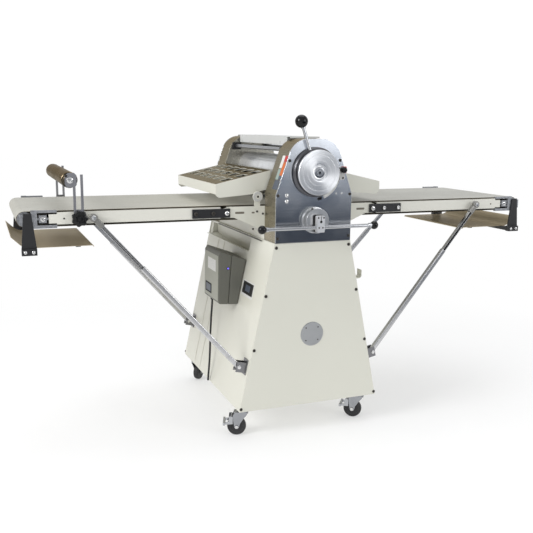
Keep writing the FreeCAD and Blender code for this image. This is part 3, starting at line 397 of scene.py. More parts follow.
# Painted shade: a dark sheet for the inside of the strut channels and the gap under the head.
SHADE_LINING = brushed("painted_shade_lining", (0.115, 0.108, 0.095), rough=0.40, stretch=(60, 60, 12),
                 aniso=0.0)
ROD = brushed("strut_channel_steel", (0.30, 0.295, 0.28), rough=0.34, stretch=(60, 60, 12),
              aniso=0.0, smudge=0.05)
STRAP = brushed("strap_steel", (0.23, 0.23, 0.24), rough=0.30, stretch=(500, 500, 8), aniso=0.4)
HUB = brushed("hub_machined", (0.62, 0.63, 0.64), rough=0.28, stretch=(300, 300, 300),
              aniso=0.2, smudge=0.16, mottle=0.5, cloud_scale=30)
CLAMP = brushed("clamp_machined", (0.90, 0.90, 0.91), rough=0.36, stretch=(500, 500, 8),
                aniso=0.3, mottle=0.7)
DRUM = brushed("dial_drum", (0.055, 0.055, 0.06), rough=0.30, stretch=(500, 9, 500), aniso=0.5)
DRUM_RING = brushed("dial_drum_ring", (0.13, 0.13, 0.14), rough=0.30, stretch=(500, 9, 500),
                    aniso=0.5)
SCREW = brushed("screw_steel", (0.07, 0.065, 0.06), rough=0.32, stretch=(300, 300, 300),
                aniso=0.0)
BLANK = brushed("blank_badge", (0.44, 0.45, 0.46), rough=0.34, stretch=(7, 900, 900), aniso=0.3)

CHROME = chrome("chrome", (0.46, 0.47, 0.49), rough=0.12)
ROLLER = chrome("roller_chrome", (0.80, 0.81, 0.83), rough=0.07)
TUBE = chrome("strut_tube_plate", (0.60, 0.60, 0.61), rough=0.22, waves=0.05)
FORK = chrome("caster_chrome", (0.34, 0.35, 0.37), rough=0.09, waves=1.5)
BRIGHT = chrome("bright_bolt", (0.68, 0.68, 0.68), rough=0.16)
DIAL_FACE = turned("dial_turned", (0.80, 0.81, 0.83), rough=0.27)
CAST = cast("fork_casting", (0.33, 0.34, 0.36))
GREY = cast("motor_paint", (0.20, 0.22, 0.24))

BALL = gloss("black_ball_gloss", (0.004, 0.004, 0.0045), rough=0.10)
KNOB = gloss("black_knob_gloss", (0.006, 0.006, 0.0065), rough=0.20)
RUBBER = matt("tyre_rubber", (0.022, 0.022, 0.024), rough=0.6, grain=0.3)
WHEEL_CORE = matt("wheel_core", (0.10, 0.10, 0.10), rough=0.42, grain=0.15)
BOX_BODY = matt("box_body_plastic", (0.14, 0.14, 0.12), rough=0.48, grain=0.18, scale=1100)
BOX_LID = matt("box_lid_plastic", (0.36, 0.365, 0.31), rough=0.46, grain=0.18, scale=1100)
BELT = belt_cloth("belt_cloth", (0.365, 0.36, 0.325))
BACKING = belt_cloth("belt_backing", (0.30, 0.26, 0.19))
# Partly the belt's own fibre edge, partly painted shadow of the gap along the belt edge.
EDGE_FIBRE_AND_SHADE = matt("belt_edge_fibre_and_shade", (0.13, 0.10, 0.055), rough=0.8, grain=0.4)
# Painted shade: the colour of the shade inside the bracket slots.
SLOT_SHADE = matt("slot_painted_shade", (0.15, 0.135, 0.105), rough=0.6, grain=0.1)
CORD = matt("cord_rubber", (0.010, 0.010, 0.012), rough=0.5, grain=0.2)
# Black for the scale ticks and the control box panel, and painted shade in the boss socket and
# round the direction clamp.
DARK_PRINT_AND_SHADE = matt("black_print_and_painted_shade", (0.010, 0.010, 0.010), rough=0.7, grain=0.1)
NYLON = matt("white_nylon", (0.52, 0.52, 0.50), rough=0.36, grain=0.08, scale=500)
WHITE = label("white_label", (0.70, 0.70, 0.68))
RED = label("red_label", (0.50, 0.025, 0.02))
ORANGE = label("orange_label", (0.60, 0.13, 0.012))
PALE_GREEN = label("pale_green_label", (0.28, 0.36, 0.33))
SLATE = label("slate_label", (0.07, 0.085, 0.115))
LAMP = pilot_lamp()


# ---------------------------------------------------------------- mesh building
class Part:
    """Collects the shapes of one piece; new faces get the material last named by use()."""

    def __init__(self, *materials, place=Matrix()):
        self.mesh = bmesh.new()
        self.materials = materials
        self.slot = 0
        self.place = place

    def use(self, material):
        self.slot = self.materials.index(material)

    def verts(self, points):
        moved = [self.place @ Vector(point) for point in points]
        return [self.mesh.verts.new((v.x * MM, v.y * MM, v.z * MM)) for v in moved]

    def face(self, verts):
        self.mesh.faces.new(verts).material_index = self.slot

    def loft(self, rings):
        """Skin over closed rings, capped at both ends."""
        rings = [self.verts(ring) for ring in rings]
        count = len(rings[0])
        for near, far in zip(rings, rings[1:]):
            for i in range(count):
                j = (i + 1) % count
                self.face([near[i], near[j], far[j], far[i]])
        self.face(rings[0][::-1])
        self.face(rings[-1])

    def prism(self, outline, start, end):
        """(x, z) outline pushed along Y from start to end."""
        self.loft([[(p[0], y, p[1]) for p in outline] for y in (start, end)])

    def box(self, x, y, z):
        self.prism([(x[0], z[0]), (x[1], z[0]), (x[1], z[1]), (x[0], z[1])], *y)

    def stack(self, levels):
        """Skin over (x, y) outlines, each with its height."""
        self.loft([[(x, y, z) for x, y in outline] for outline, z in levels])

    def column(self, outline, *heights):
        self.stack([(outline, z) for z in heights])

    def spin(self, profile, centre, axis="y", sides=48, sign=1, swell=None):
        """Profile of (radius, sign * distance along the axis) turned about an axis.

        swell(angle, radius) may change the radius.
        """
        cx, cy, cz = centre
        rings = []
        for profile_radius, along in profile:
            along *= sign
            ring = []
            for i in range(sides):
                angle = 2 * math.pi * i / sides
                radius = swell(angle, profile_radius) if swell else profile_radius
                radius = max(radius, 0.02)
                u, v = radius * math.cos(angle), radius * math.sin(angle)
                ring.append({"y": (cx + u, cy + along, cz + v),
                             "x": (cx + along, cy + u, cz + v),
                             "z": (cx + u, cy + v, cz + along)}[axis])
            rings.append(ring)
        self.loft(rings)

    def rod(self, radius, start, end, centre, axis="y", sides=24):
        self.spin([(radius, start), (radius, end)], centre, axis, sides)

    def screw(self, centre, radius, height, sign=-1, socket=True):
        """Domed head with a six-sided socket, its foot at centre, rising along sign * Y."""
        profile = [(radius, 0.0), (radius, height * 0.35), (radius * 0.93, height * 0.66),
                   (radius * 0.75, height * 0.90), (radius * 0.52, height)]
        if socket:
            profile += [(radius * 0.50, height), (radius * 0.44, height * 0.45),
                        (0.0, height * 0.40)]
        else:
            profile += [(0.2, height * 1.02)]

        def hexagon(angle, ring_radius):
            if not socket or ring_radius > radius * 0.501:
                return ring_radius
            flat = math.cos((angle % (math.pi / 3)) - math.pi / 6)
            return ring_radius / max(0.87, flat) * 0.95

        self.spin(profile, centre, sides=24, sign=sign, swell=hexagon)


def rounded(width, height, radius, steps=5, centre=(0, 0)):
    """Rounded rectangle outline."""
    points = []
    for k, (sx, sy) in enumerate(((1, 1), (-1, 1), (-1, -1), (1, -1))):
        for i in range(steps + 1):
            angle = math.pi / 2 * (k + i / steps)
            points.append((centre[0] + sx * (width / 2 - radius) + radius * math.cos(angle),
                           centre[1] + sy * (height / 2 - radius) + radius * math.sin(angle)))
    return points


def mirrored(outline, side):
    """The outline, with its first coordinate negated on side -1."""
    return [(side * x, y) for x, y in outline]


def symmetric(half):
    """The points with their second coordinate negated, then the points themselves, backwards."""
    return [(x, -y) for x, y in half] + half[::-1]


def ball_arc(radius, steps, skip):
    """Profile of a ball cut into steps from pole to pole, less skip steps at each pole."""
    return [(radius * math.sin(math.pi * i / steps), -radius * math.cos(math.pi * i / steps))
            for i in range(skip, steps + 1 - skip)]


def add_object(name, data):
    made = bpy.data.objects.new(name, data)
    bpy.context.scene.collection.objects.link(made)
    return made


def soften(target, bevel, segments):
    if bevel:
        edge = target.modifiers.new("Edge", "BEVEL")
        edge.width = bevel * MM
        edge.segments = segments
        edge.limit_method = "ANGLE"
        edge.angle_limit = math.radians(32)
        edge.use_clamp_overlap = True
    normals = target.modifiers.new("Normals", "WEIGHTED_NORMAL")
    normals.weight = 60
    normals.keep_sharp = False


def make_piece(name, part, body, replaces=(), bevel=0.6, segments=2):
    """Turns a part into an object; it rides on body unless that is None."""
    mesh = part.mesh
    bmesh.ops.remove_doubles(mesh, verts=mesh.verts, dist=1e-6)
    bmesh.ops.dissolve_degenerate(mesh, edges=mesh.edges, dist=1e-7)
    bmesh.ops.recalc_face_normals(mesh, faces=mesh.faces)
    data = bpy.data.meshes.new(name)
    mesh.to_mesh(data)
    mesh.free()
    made = add_object(name, data)
    for material in part.materials:
        data.materials.append(material)
    for face in data.polygons:
        face.use_smooth = True
    soften(made, bevel, segments)
    if body:
        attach(made, body)
    if replaces:
        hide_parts(*replaces)
    return made


def finish_cad(node, *materials, second=None, bevel=0.5, segments=2):
    """Finish of a CAD node that stays; second(centre, normal) picks faces of material two."""
    target = NODES[node]
    target.data.materials.clear()
    for material in materials:
        target.data.materials.append(material)
    for face in target.data.polygons:
        face.use_smooth = True
        face.material_index = int(second(face.center / MM, face.normal)) if second else 0
    join = target.modifiers.new("Join", "WELD")
    join.merge_threshold = 2e-5
    flat = target.modifiers.new("Flat", "DECIMATE")
    flat.decimate_type = "DISSOLVE"
    flat.angle_limit = math.radians(0.4)
    flat.delimit = {"MATERIAL"}
    soften(target, bevel, segments)


# ---------------------------------------------------------------- CAD pieces that keep their shape
# node, material, bevel width, bevel segments
PLAIN_NODES = [
    ("base_frame", CREAM, 0.8, 2), ("end_panels", CREAM, 1.0, 3), ("side_panels", CREAM, 0.7, 2),
    ("head_housings", FLANK, 0.8, 2), ("head_plates", PLATE, 0.9, 2),
    ("lower_scrapers", STAINLESS, 0.3, 2), ("direction_hub", HUB, 1.0, 3),
    ("strut_brackets", STRAP, 0.5, 2), ("motor", GREY, 2.0, 2), ("lower_roller", ROLLER, 0.8, 2),
    ("upper_roller", ROLLER, 0.8, 2), ("lift_carriage", STEEL, 0.6, 2),
    ("pin_holders", STAINLESS, 1.2, 3),
]
for _, side_name in SIDES:
    PLAIN_NODES += [
        (side_name + "_drive_roller", CAST, 0.5, 2), (side_name + "_end_roller", CAST, 0.5, 2),
        (side_name + "_tension_forks", CAST, 2.4, 3), (side_name + "_brackets", BLACK, 0.8, 2),
    ]
for node, material, bevel, segments in PLAIN_NODES:
    finish_cad(node, material, bevel=bevel, segments=segments)


def on_black_end(centre, normal):
    """The tie rod faces near the head plates, except a small patch between them."""
    x = abs(centre.x)
    outside_patch = centre.z < 1103 or centre.z > 1121 or abs(x - 75) > 9
    return abs(centre.y) > 272 and centre.z > 1000 and 54 < x < 96 and outside_patch


# The faces that get the painted reflection tan: tops of the rails, brackets and deck.
def on_deck(centre, normal):
    return normal.z > 0.9 and centre.z > 895


finish_cad("top_cover", COVER, SHIELD, second=lambda centre, normal: centre.z < 1100)
finish_cad("tie_rods", STEEL, BLACK, second=on_black_end, bevel=0.8)
finish_cad("table_brackets", CREAM, REFLECTION_SHADE_STEEL, second=on_deck, bevel=0.6)
for _, side_name in SIDES:
    finish_cad(side_name + "_table_frame", CREAM_LIGHT, REFLECTION_SHADE_STEEL, bevel=0.7,
               second=lambda centre, normal: on_deck(centre, normal) or normal.z < -0.9)
    finish_cad(side_name + "_guard", CREAM, GUARD_TOP,
               second=lambda centre, normal: normal.z > 0.8 and centre.z > 978)

# ---------------------------------------------------------------- belts
BELT_THICK = 2.0
BELT_HALF = 260.0
BELT_ROWS = 12
ARC_STEPS = 16  # round each roller


def belt_line():
    """Stations round the loop: x, height over the roller axis, outward normal x and z."""
    rise = BELT_TOP - AXIS_Z
    stations = [DRIVE_X + i * 24 for i in range(int((FOLD_X - 60 - DRIVE_X) // 24))]
    x = stations[-1] + 24
    while x < FOLD_X + 60:  # finer about the fold
        stations.append(x)
        x += 5
    while x < END_X - 5:
        stations.append(x)
        x += 44

    def round_roller(roller_x, start, count):
        angles = [start - math.pi * i / ARC_STEPS for i in range(count)]
        return [(roller_x + rise * math.cos(angle), rise * math.sin(angle),
                 math.cos(angle), math.sin(angle)) for angle in angles]

    return ([(x, rise, 0, 1) for x in stations]
            + round_roller(END_X, math.pi / 2, ARC_STEPS + 1)
            + [(x, -rise, 0, -1) for x in reversed(stations[1:])]
            + round_roller(DRIVE_X, -math.pi / 2, ARC_STEPS))


def belt_loop(side, side_name):
    """One closed loop for a table, with finer stations about the fold."""
    part = Part(BELT, BACKING, EDGE_FIBRE_AND_SHADE)
    line = belt_line()
    rows = [-BELT_HALF + 2 * BELT_HALF * k / BELT_ROWS for k in range(BELT_ROWS + 1)]

    def skin(depth):
        return [part.verts([(side * (x - nx * depth), y, AXIS_Z + z - nz * depth) for y in rows])
                for x, z, nx, nz in line]

    outer = skin(0)
    inner = skin(BELT_THICK)
    for i in range(len(line)):
        j = (i + 1) % len(line)
        for k in range(BELT_ROWS):
            for material, grid in ((BELT, outer), (BACKING, inner)):
                part.use(material)
                part.face([grid[i][k], grid[i][k + 1], grid[j][k + 1], grid[j][k]])
        # Belt side faces: fibre edge and painted shadow.
        part.use(EDGE_FIBRE_AND_SHADE)
        for k in (0, BELT_ROWS):
            part.face([outer[i][k], inner[i][k], inner[j][k], outer[j][k]])
    band = make_piece(side_name + "_belt_band", part, None,
                      (side_name + "_belt", "inner_belts"), bevel=0)
    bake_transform(band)


for side, side_name in SIDES:
    belt_loop(side, side_name)

# ---------------------------------------------------------------- catch pans
PAN_FLOOR = 769.2
PAN_THICK = 1.5


def sheet_profile(points, thickness):
    """Both faces of a bent sheet whose lower face follows the points."""
    top = []
    for i, (x, z) in enumerate(points):
        before, after = points[max(i - 1, 0)], points[min(i + 1, len(points) - 1)]
        dx, dz = after[0] - before[0], after[1] - before[1]
        length = math.hypot(dx, dz)
        top.append((x - dz / length * thickness, z + dx / length * thickness))
    return points + top[::-1]


def catch_pan(side, side_name):
    """Flat sheet with a small inner lip, its outer end curling up; two black feet below."""
    node = side_name + "_catch_pan"
    low, high = span(node)
    outer_x, inner_x = max(abs(low[0]), abs(high[0])), min(abs(low[0]), abs(high[0]))
    half = high[1]
    points = [(inner_x + 1, PAN_FLOOR - 5), (inner_x + 1.4, PAN_FLOOR - 2),
              (inner_x + 4, PAN_FLOOR)]
    points += [(inner_x + 30 * i, PAN_FLOOR) for i in range(1, 8)]
    curl = ((1022, PAN_FLOOR), (1046, PAN_FLOOR), (1058, PAN_FLOOR + 18),
            (outer_x - 1.5, high[2] - 1))
    for i in range(17):
        t = i / 16
        points.append(tuple(
            (1 - t) ** 3 * a + 3 * t * (1 - t) ** 2 * b + 3 * t * t * (1 - t) * c + t ** 3 * d
            for a, b, c, d in zip(*curl)))
    part = Part(TAN_STEEL, BLACK)
    profile = sheet_profile(points, PAN_THICK)
    part.loft([[(side * x, -half + 2 * half * k / 8, z) for x, z in profile] for k in range(9)])
    part.use(BLACK)
    for end, _ in ENDS:
        part.box((side * 845, side * 862), (end * (half - 26), end * (half - 14)),
                 (PAN_FLOOR - 1, PAN_FLOOR - 5))
    make_piece(side_name + "_pan_sheet", part, side_name + "_table", (node,),
               bevel=0.3)


for side, side_name in SIDES:
    catch_pan(side, side_name)

# ---------------------------------------------------------------- rolling pin
PIN_X, _, PIN_Z = middle("rolling_pin")
PIN_HALF = 284
SPINDLE_HALF = 296

part = Part(PIN)
pin_end = [(9, SPINDLE_HALF), (9, PIN_HALF), (19, PIN_HALF), (21, PIN_HALF - 2.5),
           (25, PIN_HALF - 2.5), (26, PIN_HALF), (28, PIN_HALF - 2)]
part.spin(symmetric(pin_end), (PIN_X, 0, PIN_Z), sides=64)
make_piece("rolling_pin_tube", part, "rolling_pin", ("rolling_pin",), bevel=0.5)

part = Part(BRIGHT, SCREW)
for end, _ in ENDS:
    cap_y = end * SPINDLE_HALF
    part.use(BRIGHT)
    part.screw((PIN_X, cap_y, PIN_Z), 11.5, 4.2, end)
    part.use(SCREW)
    part.spin([(5, 0), (5, 3), (4, 4), (0, 4)], (PIN_X - 13, cap_y, PIN_Z + 15), sides=20,
              sign=end)
make_piece("pin_bearing_caps", part, "left_table", bevel=0.4)

# ---------------------------------------------------------------- star knobs
# radius, distance from the middle of the machine
STAR_PROFILE = [
    (12, 296.6), (22, 297), (25.5, 299), (26.3, 303), (26.2, 308), (24.5, 312), (20, 314.2),
    (13.5, 314.8), (12.5, 312.5), (9, 312.2), (8.4, 314), (0, 314.6),
]


def star_knob(end, node):
    x, _, z = middle(node)
    low, high = span(node)
    grow = (high[2] - low[2]) / 2 / 28.3

    def star(angle, radius):
        return radius * grow * (1 + 0.085 * math.cos(7 * angle)) if radius > 12 else radius

    part = Part(KNOB, BRIGHT)
    part.spin(STAR_PROFILE, (x, 0, z), sides=112, sign=end, swell=star)
    part.use(BRIGHT)
    part.rod(5, end * 287, end * 297, (x, 0, z))
    make_piece(node + "_grip", part, node, (node,), bevel=0.3)


for end, end_name in ENDS:
    star_knob(end, end_name + "_star_knob")

# ---------------------------------------------------------------- thickness dial
FACE_CENTRE = (DIAL_X, DIAL_FACE_Y, DIAL_Z)
PLATE_CENTRE = (DIAL_X, PLATE_FRONT, DIAL_Z)
# radius, distance behind the dial face
DISC_PROFILE = [
    (20, 1), (23, -0.4), (26, 2.6), (30, 2.6), (31, 0.4), (34, 0), (46, 0), (46.4, 0.3),
    (47.4, 0.3), (47.8, 0), (66, 0), (66.4, 0.3), (67.2, 0.3), (67.6, 0),
    (DIAL_RADIUS - 1.5, 0), (DIAL_RADIUS, 1.5), (DIAL_RADIUS, 10), (DIAL_RADIUS - 1, 11), (20, 11),
]
BOSS_PROFILE = [(20, 2), (20, -0.6), (18.5, -1.2), (12, -1.2), (11.5, -0.4), (9, -0.4),
                (9, -2.4), (8.2, -3), (4.4, -3)]
# radius, y
DRUM_PROFILE = [
    (DIAL_RADIUS - 7, DIAL_FACE_Y + 10.5), (DIAL_RADIUS - 7, DIAL_FACE_Y + 16),
    (DIAL_RADIUS - 1, DIAL_FACE_Y + 16), (DIAL_RADIUS, DIAL_FACE_Y + 17),
    (DIAL_RADIUS, PLATE_FRONT - 4.6), (30, PLATE_FRONT - 4.6), (30, PLATE_FRONT - 0.4),
    (15, PLATE_FRONT - 0.4), (15, PLATE_FRONT + 50),
]
# radius beyond the dial, distance behind the ring's own front
RING_PROFILE = [(-3, 0), (1.2, 0), (1.6, 0.5), (1.6, 1.7), (1.2, 2.2), (-3, 2.2)]
# radius beyond the dial, distance from the head plate
FLANGE_PROFILE = [(-3, -17.5), (3, -17.5), (6.5, -15), (8.5, -11.5), (9.4, -7.2), (9.4, -5.4),
                  (8.9, -4.7), (-3, -4.7)]


def beyond_dial(profile):
    return [(DIAL_RADIUS + extra, along) for extra, along in profile]


part = Part(DIAL_FACE)
part.spin(DISC_PROFILE, FACE_CENTRE, sides=128)
make_piece("dial_disc", part, "thickness_control", ("thickness_dial",),
           bevel=0.15)

part = Part(DRUM, DRUM_RING)
part.spin(DRUM_PROFILE, (DIAL_X, 0, DIAL_Z), sides=128)
part.use(DRUM_RING)
for ring_y in (DIAL_FACE_Y + 17.5, PLATE_FRONT - 21.5):
    part.spin(beyond_dial(RING_PROFILE), (DIAL_X, ring_y, DIAL_Z), sides=128)
part.spin(beyond_dial(FLANGE_PROFILE), PLATE_CENTRE, sides=128)
make_piece("dial_drum", part, "thickness_control", bevel=0.3)

part = Part(CHROME, DARK_PRINT_AND_SHADE)
part.spin(BOSS_PROFILE, FACE_CENTRE)
# Painted shade: a dark hexagon fills the socket in the boss.
part.use(DARK_PRINT_AND_SHADE)
part.rod(4.6, -3.0, 0.5, FACE_CENTRE, sides=6)
make_piece("dial_boss", part, "thickness_control", bevel=0.25)

# ---------------------------------------------------------------- thickness lever
LEVER_BALL = 24.0
low, high = span("thickness_lever")
ball_x, ball_y, ball_z = low[0] + LEVER_BALL, (low[1] + high[1]) / 2, high[2] - LEVER_BALL
lean = math.atan2(DIAL_X - ball_x, ball_z - DIAL_Z)
reach = math.hypot(ball_x - DIAL_X, ball_z - DIAL_Z)
lever_place = (Matrix.Translation(Vector((DIAL_X, ball_y, DIAL_Z)))
               @ Matrix.Rotation(-lean, 4, "Y"))

part = Part(CHROME, BALL, place=lever_place)
part.spin([(6.5, DIAL_RADIUS + 0.1), (6.5, reach - 24), (6, reach - 20)], (0, 0, 0), "z", 40)
part.spin([(7.0, reach - 27), (8.4, reach - 26.4), (8.4, reach - 22)], (0, 0, 0), "z", 40)
part.use(BALL)
part.spin([(0.0, -LEVER_BALL)] + ball_arc(LEVER_BALL, 26, 1) + [(0.0, LEVER_BALL)],
          (0, 0, reach), "z", 56)
make_piece("lever_rod_and_ball", part, "thickness_control", ("thickness_lever",),
           bevel=0.2)


# ---------------------------------------------------------------- limit stop
def knurl(angle, radius):
    return radius * (1 + 0.05 * math.cos(15 * angle)) if radius > 9.7 else radius


part = Part(NYLON, KNOB, SCREW, RED)
part.prism(rounded(22, 48, 6, 4, (110, 1026)), PLATE_FRONT - 7.6, PLATE_FRONT - 4.2)
part.use(KNOB)
part.spin([(8, -7.4), (8, -13), (11, -15), (11, -29), (9.6, -31.6), (0, -31.8)],
          (109, PLATE_FRONT, 1040), sides=60, swell=knurl)
part.use(SCREW)
part.screw((114, PLATE_FRONT - 7.5, 1009), 4, 2.2)
part.use(RED)
part.prism(rounded(13, 25, 4, 4, (120.5, 1040)), PLATE_FRONT - 7.6, PLATE_FRONT - 11)
make_piece("limit_stop_clamp", part, "limit_stop", ("limit_stop",), bevel=0.5)


# ---------------------------------------------------------------- thickness scale
def arc(part, radii, degrees, depths, steps):
    """Flat band about the dial; depths are measured out from the head plate."""
    inner, outer = radii
    back, front = [PLATE_FRONT - depth for depth in depths]
    rings = []
    for i in range(steps + 1):
        angle = math.radians(degrees[0] + (degrees[1] - degrees[0]) * i / steps)
        rings.append([
            (DIAL_X + radius * math.cos(angle), y, DIAL_Z + radius * math.sin(angle))
            for radius, y in ((inner, back), (outer, back), (outer, front), (inner, front))])
    part.loft(rings)


part = Part(WHITE, DARK_PRINT_AND_SHADE, KNOB)
arc(part, (93, 107), (-68, -14), (0.1, 0.8), 40)
part.use(DARK_PRINT_AND_SHADE)
for k in range(21):
    tick = -66 + 51 * k / 20
    arc(part, (102.5 if k % 5 else 99, 106), (tick - 0.22, tick - 0.22 + 0.44), (0.7, 1.0), 1)
part.use(KNOB)
part.prism([(14, 926), (30, 930), (28, 940), (12, 936)], PLATE_FRONT - 0.1, PLATE_FRONT - 3.5)
make_piece("thickness_scale", part, "frame", bevel=0.1)

# ---------------------------------------------------------------- direction lever
BAR_Y = -449.0
BAR_CENTRE = (0, BAR_Y, 830.0)
HUB_Z = 852
CLAMP_MIDDLE = (0, 843)

part = Part(CHROME, CLAMP, DARK_PRINT_AND_SHADE, SCREW)
part.rod(7, -214, 214, BAR_CENTRE, "x", 40)
for side, _ in SIDES:
    part.spin([(8.2, 207), (9.4, 208), (9.4, 217)], BAR_CENTRE, "x", 32, side)
part.rod(8, PLATE_FRONT + 4, BAR_Y + 8, (0, 0, HUB_Z), sides=32)
part.use(CLAMP)
part.prism(rounded(31, 62, 4, 4, CLAMP_MIDDLE), BAR_Y - 10.6, BAR_Y + 11)
# Painted shade: a dark slit, a dark bore and a dark plate just larger than the clamp as its shadow
# gap.
part.use(DARK_PRINT_AND_SHADE)
part.prism([(-1.2, 873), (1.2, 873), (1.2, 856), (-1.2, 856)], BAR_Y - 10.95, BAR_Y - 10.4)
part.rod(5.0, BAR_Y - 10.4, BAR_Y - 10.95, (0, 0, HUB_Z))
part.prism(rounded(34, 65, 5, 4, CLAMP_MIDDLE), BAR_Y + 9.4, BAR_Y + 11)
part.use(SCREW)
for x, z in ((-7.5, 830), (7.5, 830), (-11, 867), (11, 867)):
    part.screw((x, BAR_Y - 10.6, z), 3.2, 1.6)
make_piece("direction_bar", part, "direction_lever", ("direction_lever",))

part = Part(BALL)
for side, _ in SIDES:
    profile = [(0.0, -16.9), (5.0, -16.9)] + ball_arc(16, 24, 3)
    profile += [(4.6, 15.35), (4.2, 14.6), (0.0, 14.6)]
    part.spin(profile, (side * 231, *BAR_CENTRE[1:]), "x", 56, side)
make_piece("direction_balls", part, "direction_lever", bevel=0)

part = Part(SCREW)
for k in range(3):
    angle = math.radians(105 + 120 * k)
    part.screw((44 * math.cos(angle), PLATE_FRONT - 7, HUB_Z + 44 * math.sin(angle)), 4.5, 2.6)
make_piece("hub_screws", part, "frame", bevel=0.2)

# ---------------------------------------------------------------- panel and head plate screws
# x, z of the screws on one side
BASE_SCREWS = ((152, 751), (192, 568), (238, 360), (290, 130))
HEAD_SCREWS = ((149, 786), (149, 947), (104, 1075))

part = Part(SCREW, BRIGHT)
for end, _ in ENDS:
    for side, _ in SIDES:
        for x, z in BASE_SCREWS:
            part.screw((side * x, end * BASE_Y, z), 6.2, 3.0, end)
        for x, z in HEAD_SCREWS:
            part.screw((side * x, end * PLATE_Y, z), 6.0, 3.0, end)
part.use(BRIGHT)
for z in (947, 925):
    part.screw((-114, PLATE_FRONT, z), 7.5, 4)
for x in (90, 114):
    part.screw((x, PLATE_FRONT, 951), 3.6, 2)
make_piece("panel_screws", part, "frame", ("screw_heads",), bevel=0)

# ---------------------------------------------------------------- inner bracket fittings
BRACKET_Y = 285.05

part = Part(SCREW, SLOT_SHADE)
for end, _ in ENDS:
    for side, _ in SIDES:
        part.use(SCREW)
        for x, z in ((189, 878), (165, 869), (205, 811)):
            part.screw((side * x, end * BRACKET_Y, z), 4.2, 2.0, end)
        # Thin patches painted as the shade in the slots.
        part.use(SLOT_SHADE)
        for outline in (rounded(37, 8, 3.9, 5, (259.5, 875)), rounded(12, 6, 2.9, 5, (205, 874))):
            part.prism(mirrored(outline, side), end * (BRACKET_Y - 0.1), end * (BRACKET_Y + 0.35))
make_piece("bracket_screws", part, "frame", bevel=0)

# radius, distance from the middle of the machine
PIVOT_PROFILE = [(20, 285.6), (20, 290), (18.5, 291.4), (9, 291.4), (8, 290.2), (0, 290.2)]

part = Part(NYLON, SCREW)
for end, _ in ENDS:
    for side, _ in SIDES:
        part.use(NYLON)
        part.spin(PIVOT_PROFILE, (side * 188, 0, 935), sides=56, sign=end)
        part.use(SCREW)
        part.screw((side * 188, end * 290.2, 935), 4.4, 2.6, end)
make_piece("guard_pivot_discs", part, "frame", bevel=0.3)


# ---------------------------------------------------------------- table bolts
def table_bolts(side, side_name):
    """Bolts of the link plates, hangers and forks along both edges of a table."""
    part = Part(BRIGHT, SCREW, CAST)
    rail_z = 876
    link_y = 291.4
    for end, _ in ENDS:
        part.use(BRIGHT)
        part.screw((side * 313, end * link_y, rail_z), 9.5, 8.6, end, socket=False)
        part.use(BRIGHT if side > 0 else SCREW)
        for x in (366, 433):
            part.screw((side * x, end * link_y, rail_z), 8, 6.4, end)
        part.use(BRIGHT)
        for x, z in ((1040, 765), (1013, 764)):
            part.screw((side * x, end * 300, z), 6, 3, end)
        part.screw((side * 977, end * 285, rail_z), 9, 3.5, end)
        part.use(SCREW)
        part.screw((side * 906, end * 284, rail_z), 3, 1.4, end)
        part.use(CAST)
        part.prism(mirrored(rounded(16, 9, 2, 3, (1006, 899)), side), end * 286.2, end * 288.5)
    make_piece(side_name + "_table_bolts", part, side_name + "_table", bevel=0.2)


for side, side_name in SIDES:
    table_bolts(side, side_name)


# ---------------------------------------------------------------- struts
def strut_place(side, end, tag):
    """Matrix with Z up the strut and X along its swing axis, and the strut's length."""
    foot, top = Vector((side * 290, end * 359, 293)), Vector((side * 808, end * 307, 878))
    z = (top - foot).normalized()
    x = Vector(JOINTS[tag + "strut_swing"]["axis"])
    x = x if x.y > 0 else -x
    x = (x - z * z.dot(x)).normalized()
    turn = Matrix((x, z.cross(x), z)).transposed().to_4x4()
    return Matrix.Translation(foot) @ turn, (top - foot).length


def strut_sleeve(name, place):
    part = Part(TUBE, BRIGHT, place=place)
    outside, inside = rounded(20, 20, 4.5), rounded(16, 16, 3)
    part.stack([(rounded(16, 16, 4), -12), (outside, -9), (outside, 532),
                (rounded(19, 19, 4.3), 533), (inside, 533), (inside, 20)])
    part.use(BRIGHT)
    part.rod(5, -18.8, 18.8, (0, 0, 0), "x")
    for sign in (-1, 1):
        part.spin([(8, 15.8), (8, 18.4), (7, 18.9), (0, 18.9)], (0, 0, 0), "x", 6, sign)
    make_piece(name + "_sleeve", part, name + "_tube", (name + "_tube",), bevel=0.25)


# Half sections across the slider, x towards its open side and y
CHANNEL_HALF = [(-7, 7), (7, 7), (7, 4), (5.2, 4), (5.2, 5.2), (-5.2, 5.2)]
RIB_HALF = [(-5.1, 1.6), (-1.8, 1.3)]
SHADE_SHEET_HALF = [(-5.15, 5.1), (-4.9, 5.1)]


def strut_slider(name, place, length, end):
    """Channel with a rib and a dark lining inside as painted shade, an eye at its top and a bolt
    through it.
    """
    part = Part(TUBE, ROD, BRIGHT, SHADE_LINING, place=place)
    part.column(mirrored(symmetric(CHANNEL_HALF), end), 222, 400, 600, length - 30)
    part.column(mirrored(symmetric(RIB_HALF), end), 222.5, length - 30.5)
    part.use(SHADE_LINING)
    part.column(mirrored(symmetric(SHADE_SHEET_HALF), end), 223, length - 31)
    part.use(ROD)
    part.column(rounded(18, 22, 3, 3), length - 44, length - 14)
    eye = (0, 0, length)
    part.spin(symmetric([(14, 8.8), (14.6, 8)]), eye, "x", 40)
    part.use(BRIGHT)
    part.rod(5, -end * 18, end * 12, eye, "x")
    part.spin([(9.5, 8.8), (9.5, 11.6), (8.4, 12.8), (0, 13)], eye, "x", 6, end)
    make_piece(name + "_slider", part, name + "_rod", (name + "_rod",), bevel=0.3)


for side, end, tag in CORNERS:
    place, length = strut_place(side, end, tag)
    strut_sleeve(tag + "strut", place)
    strut_slider(tag + "strut", place, length, end)

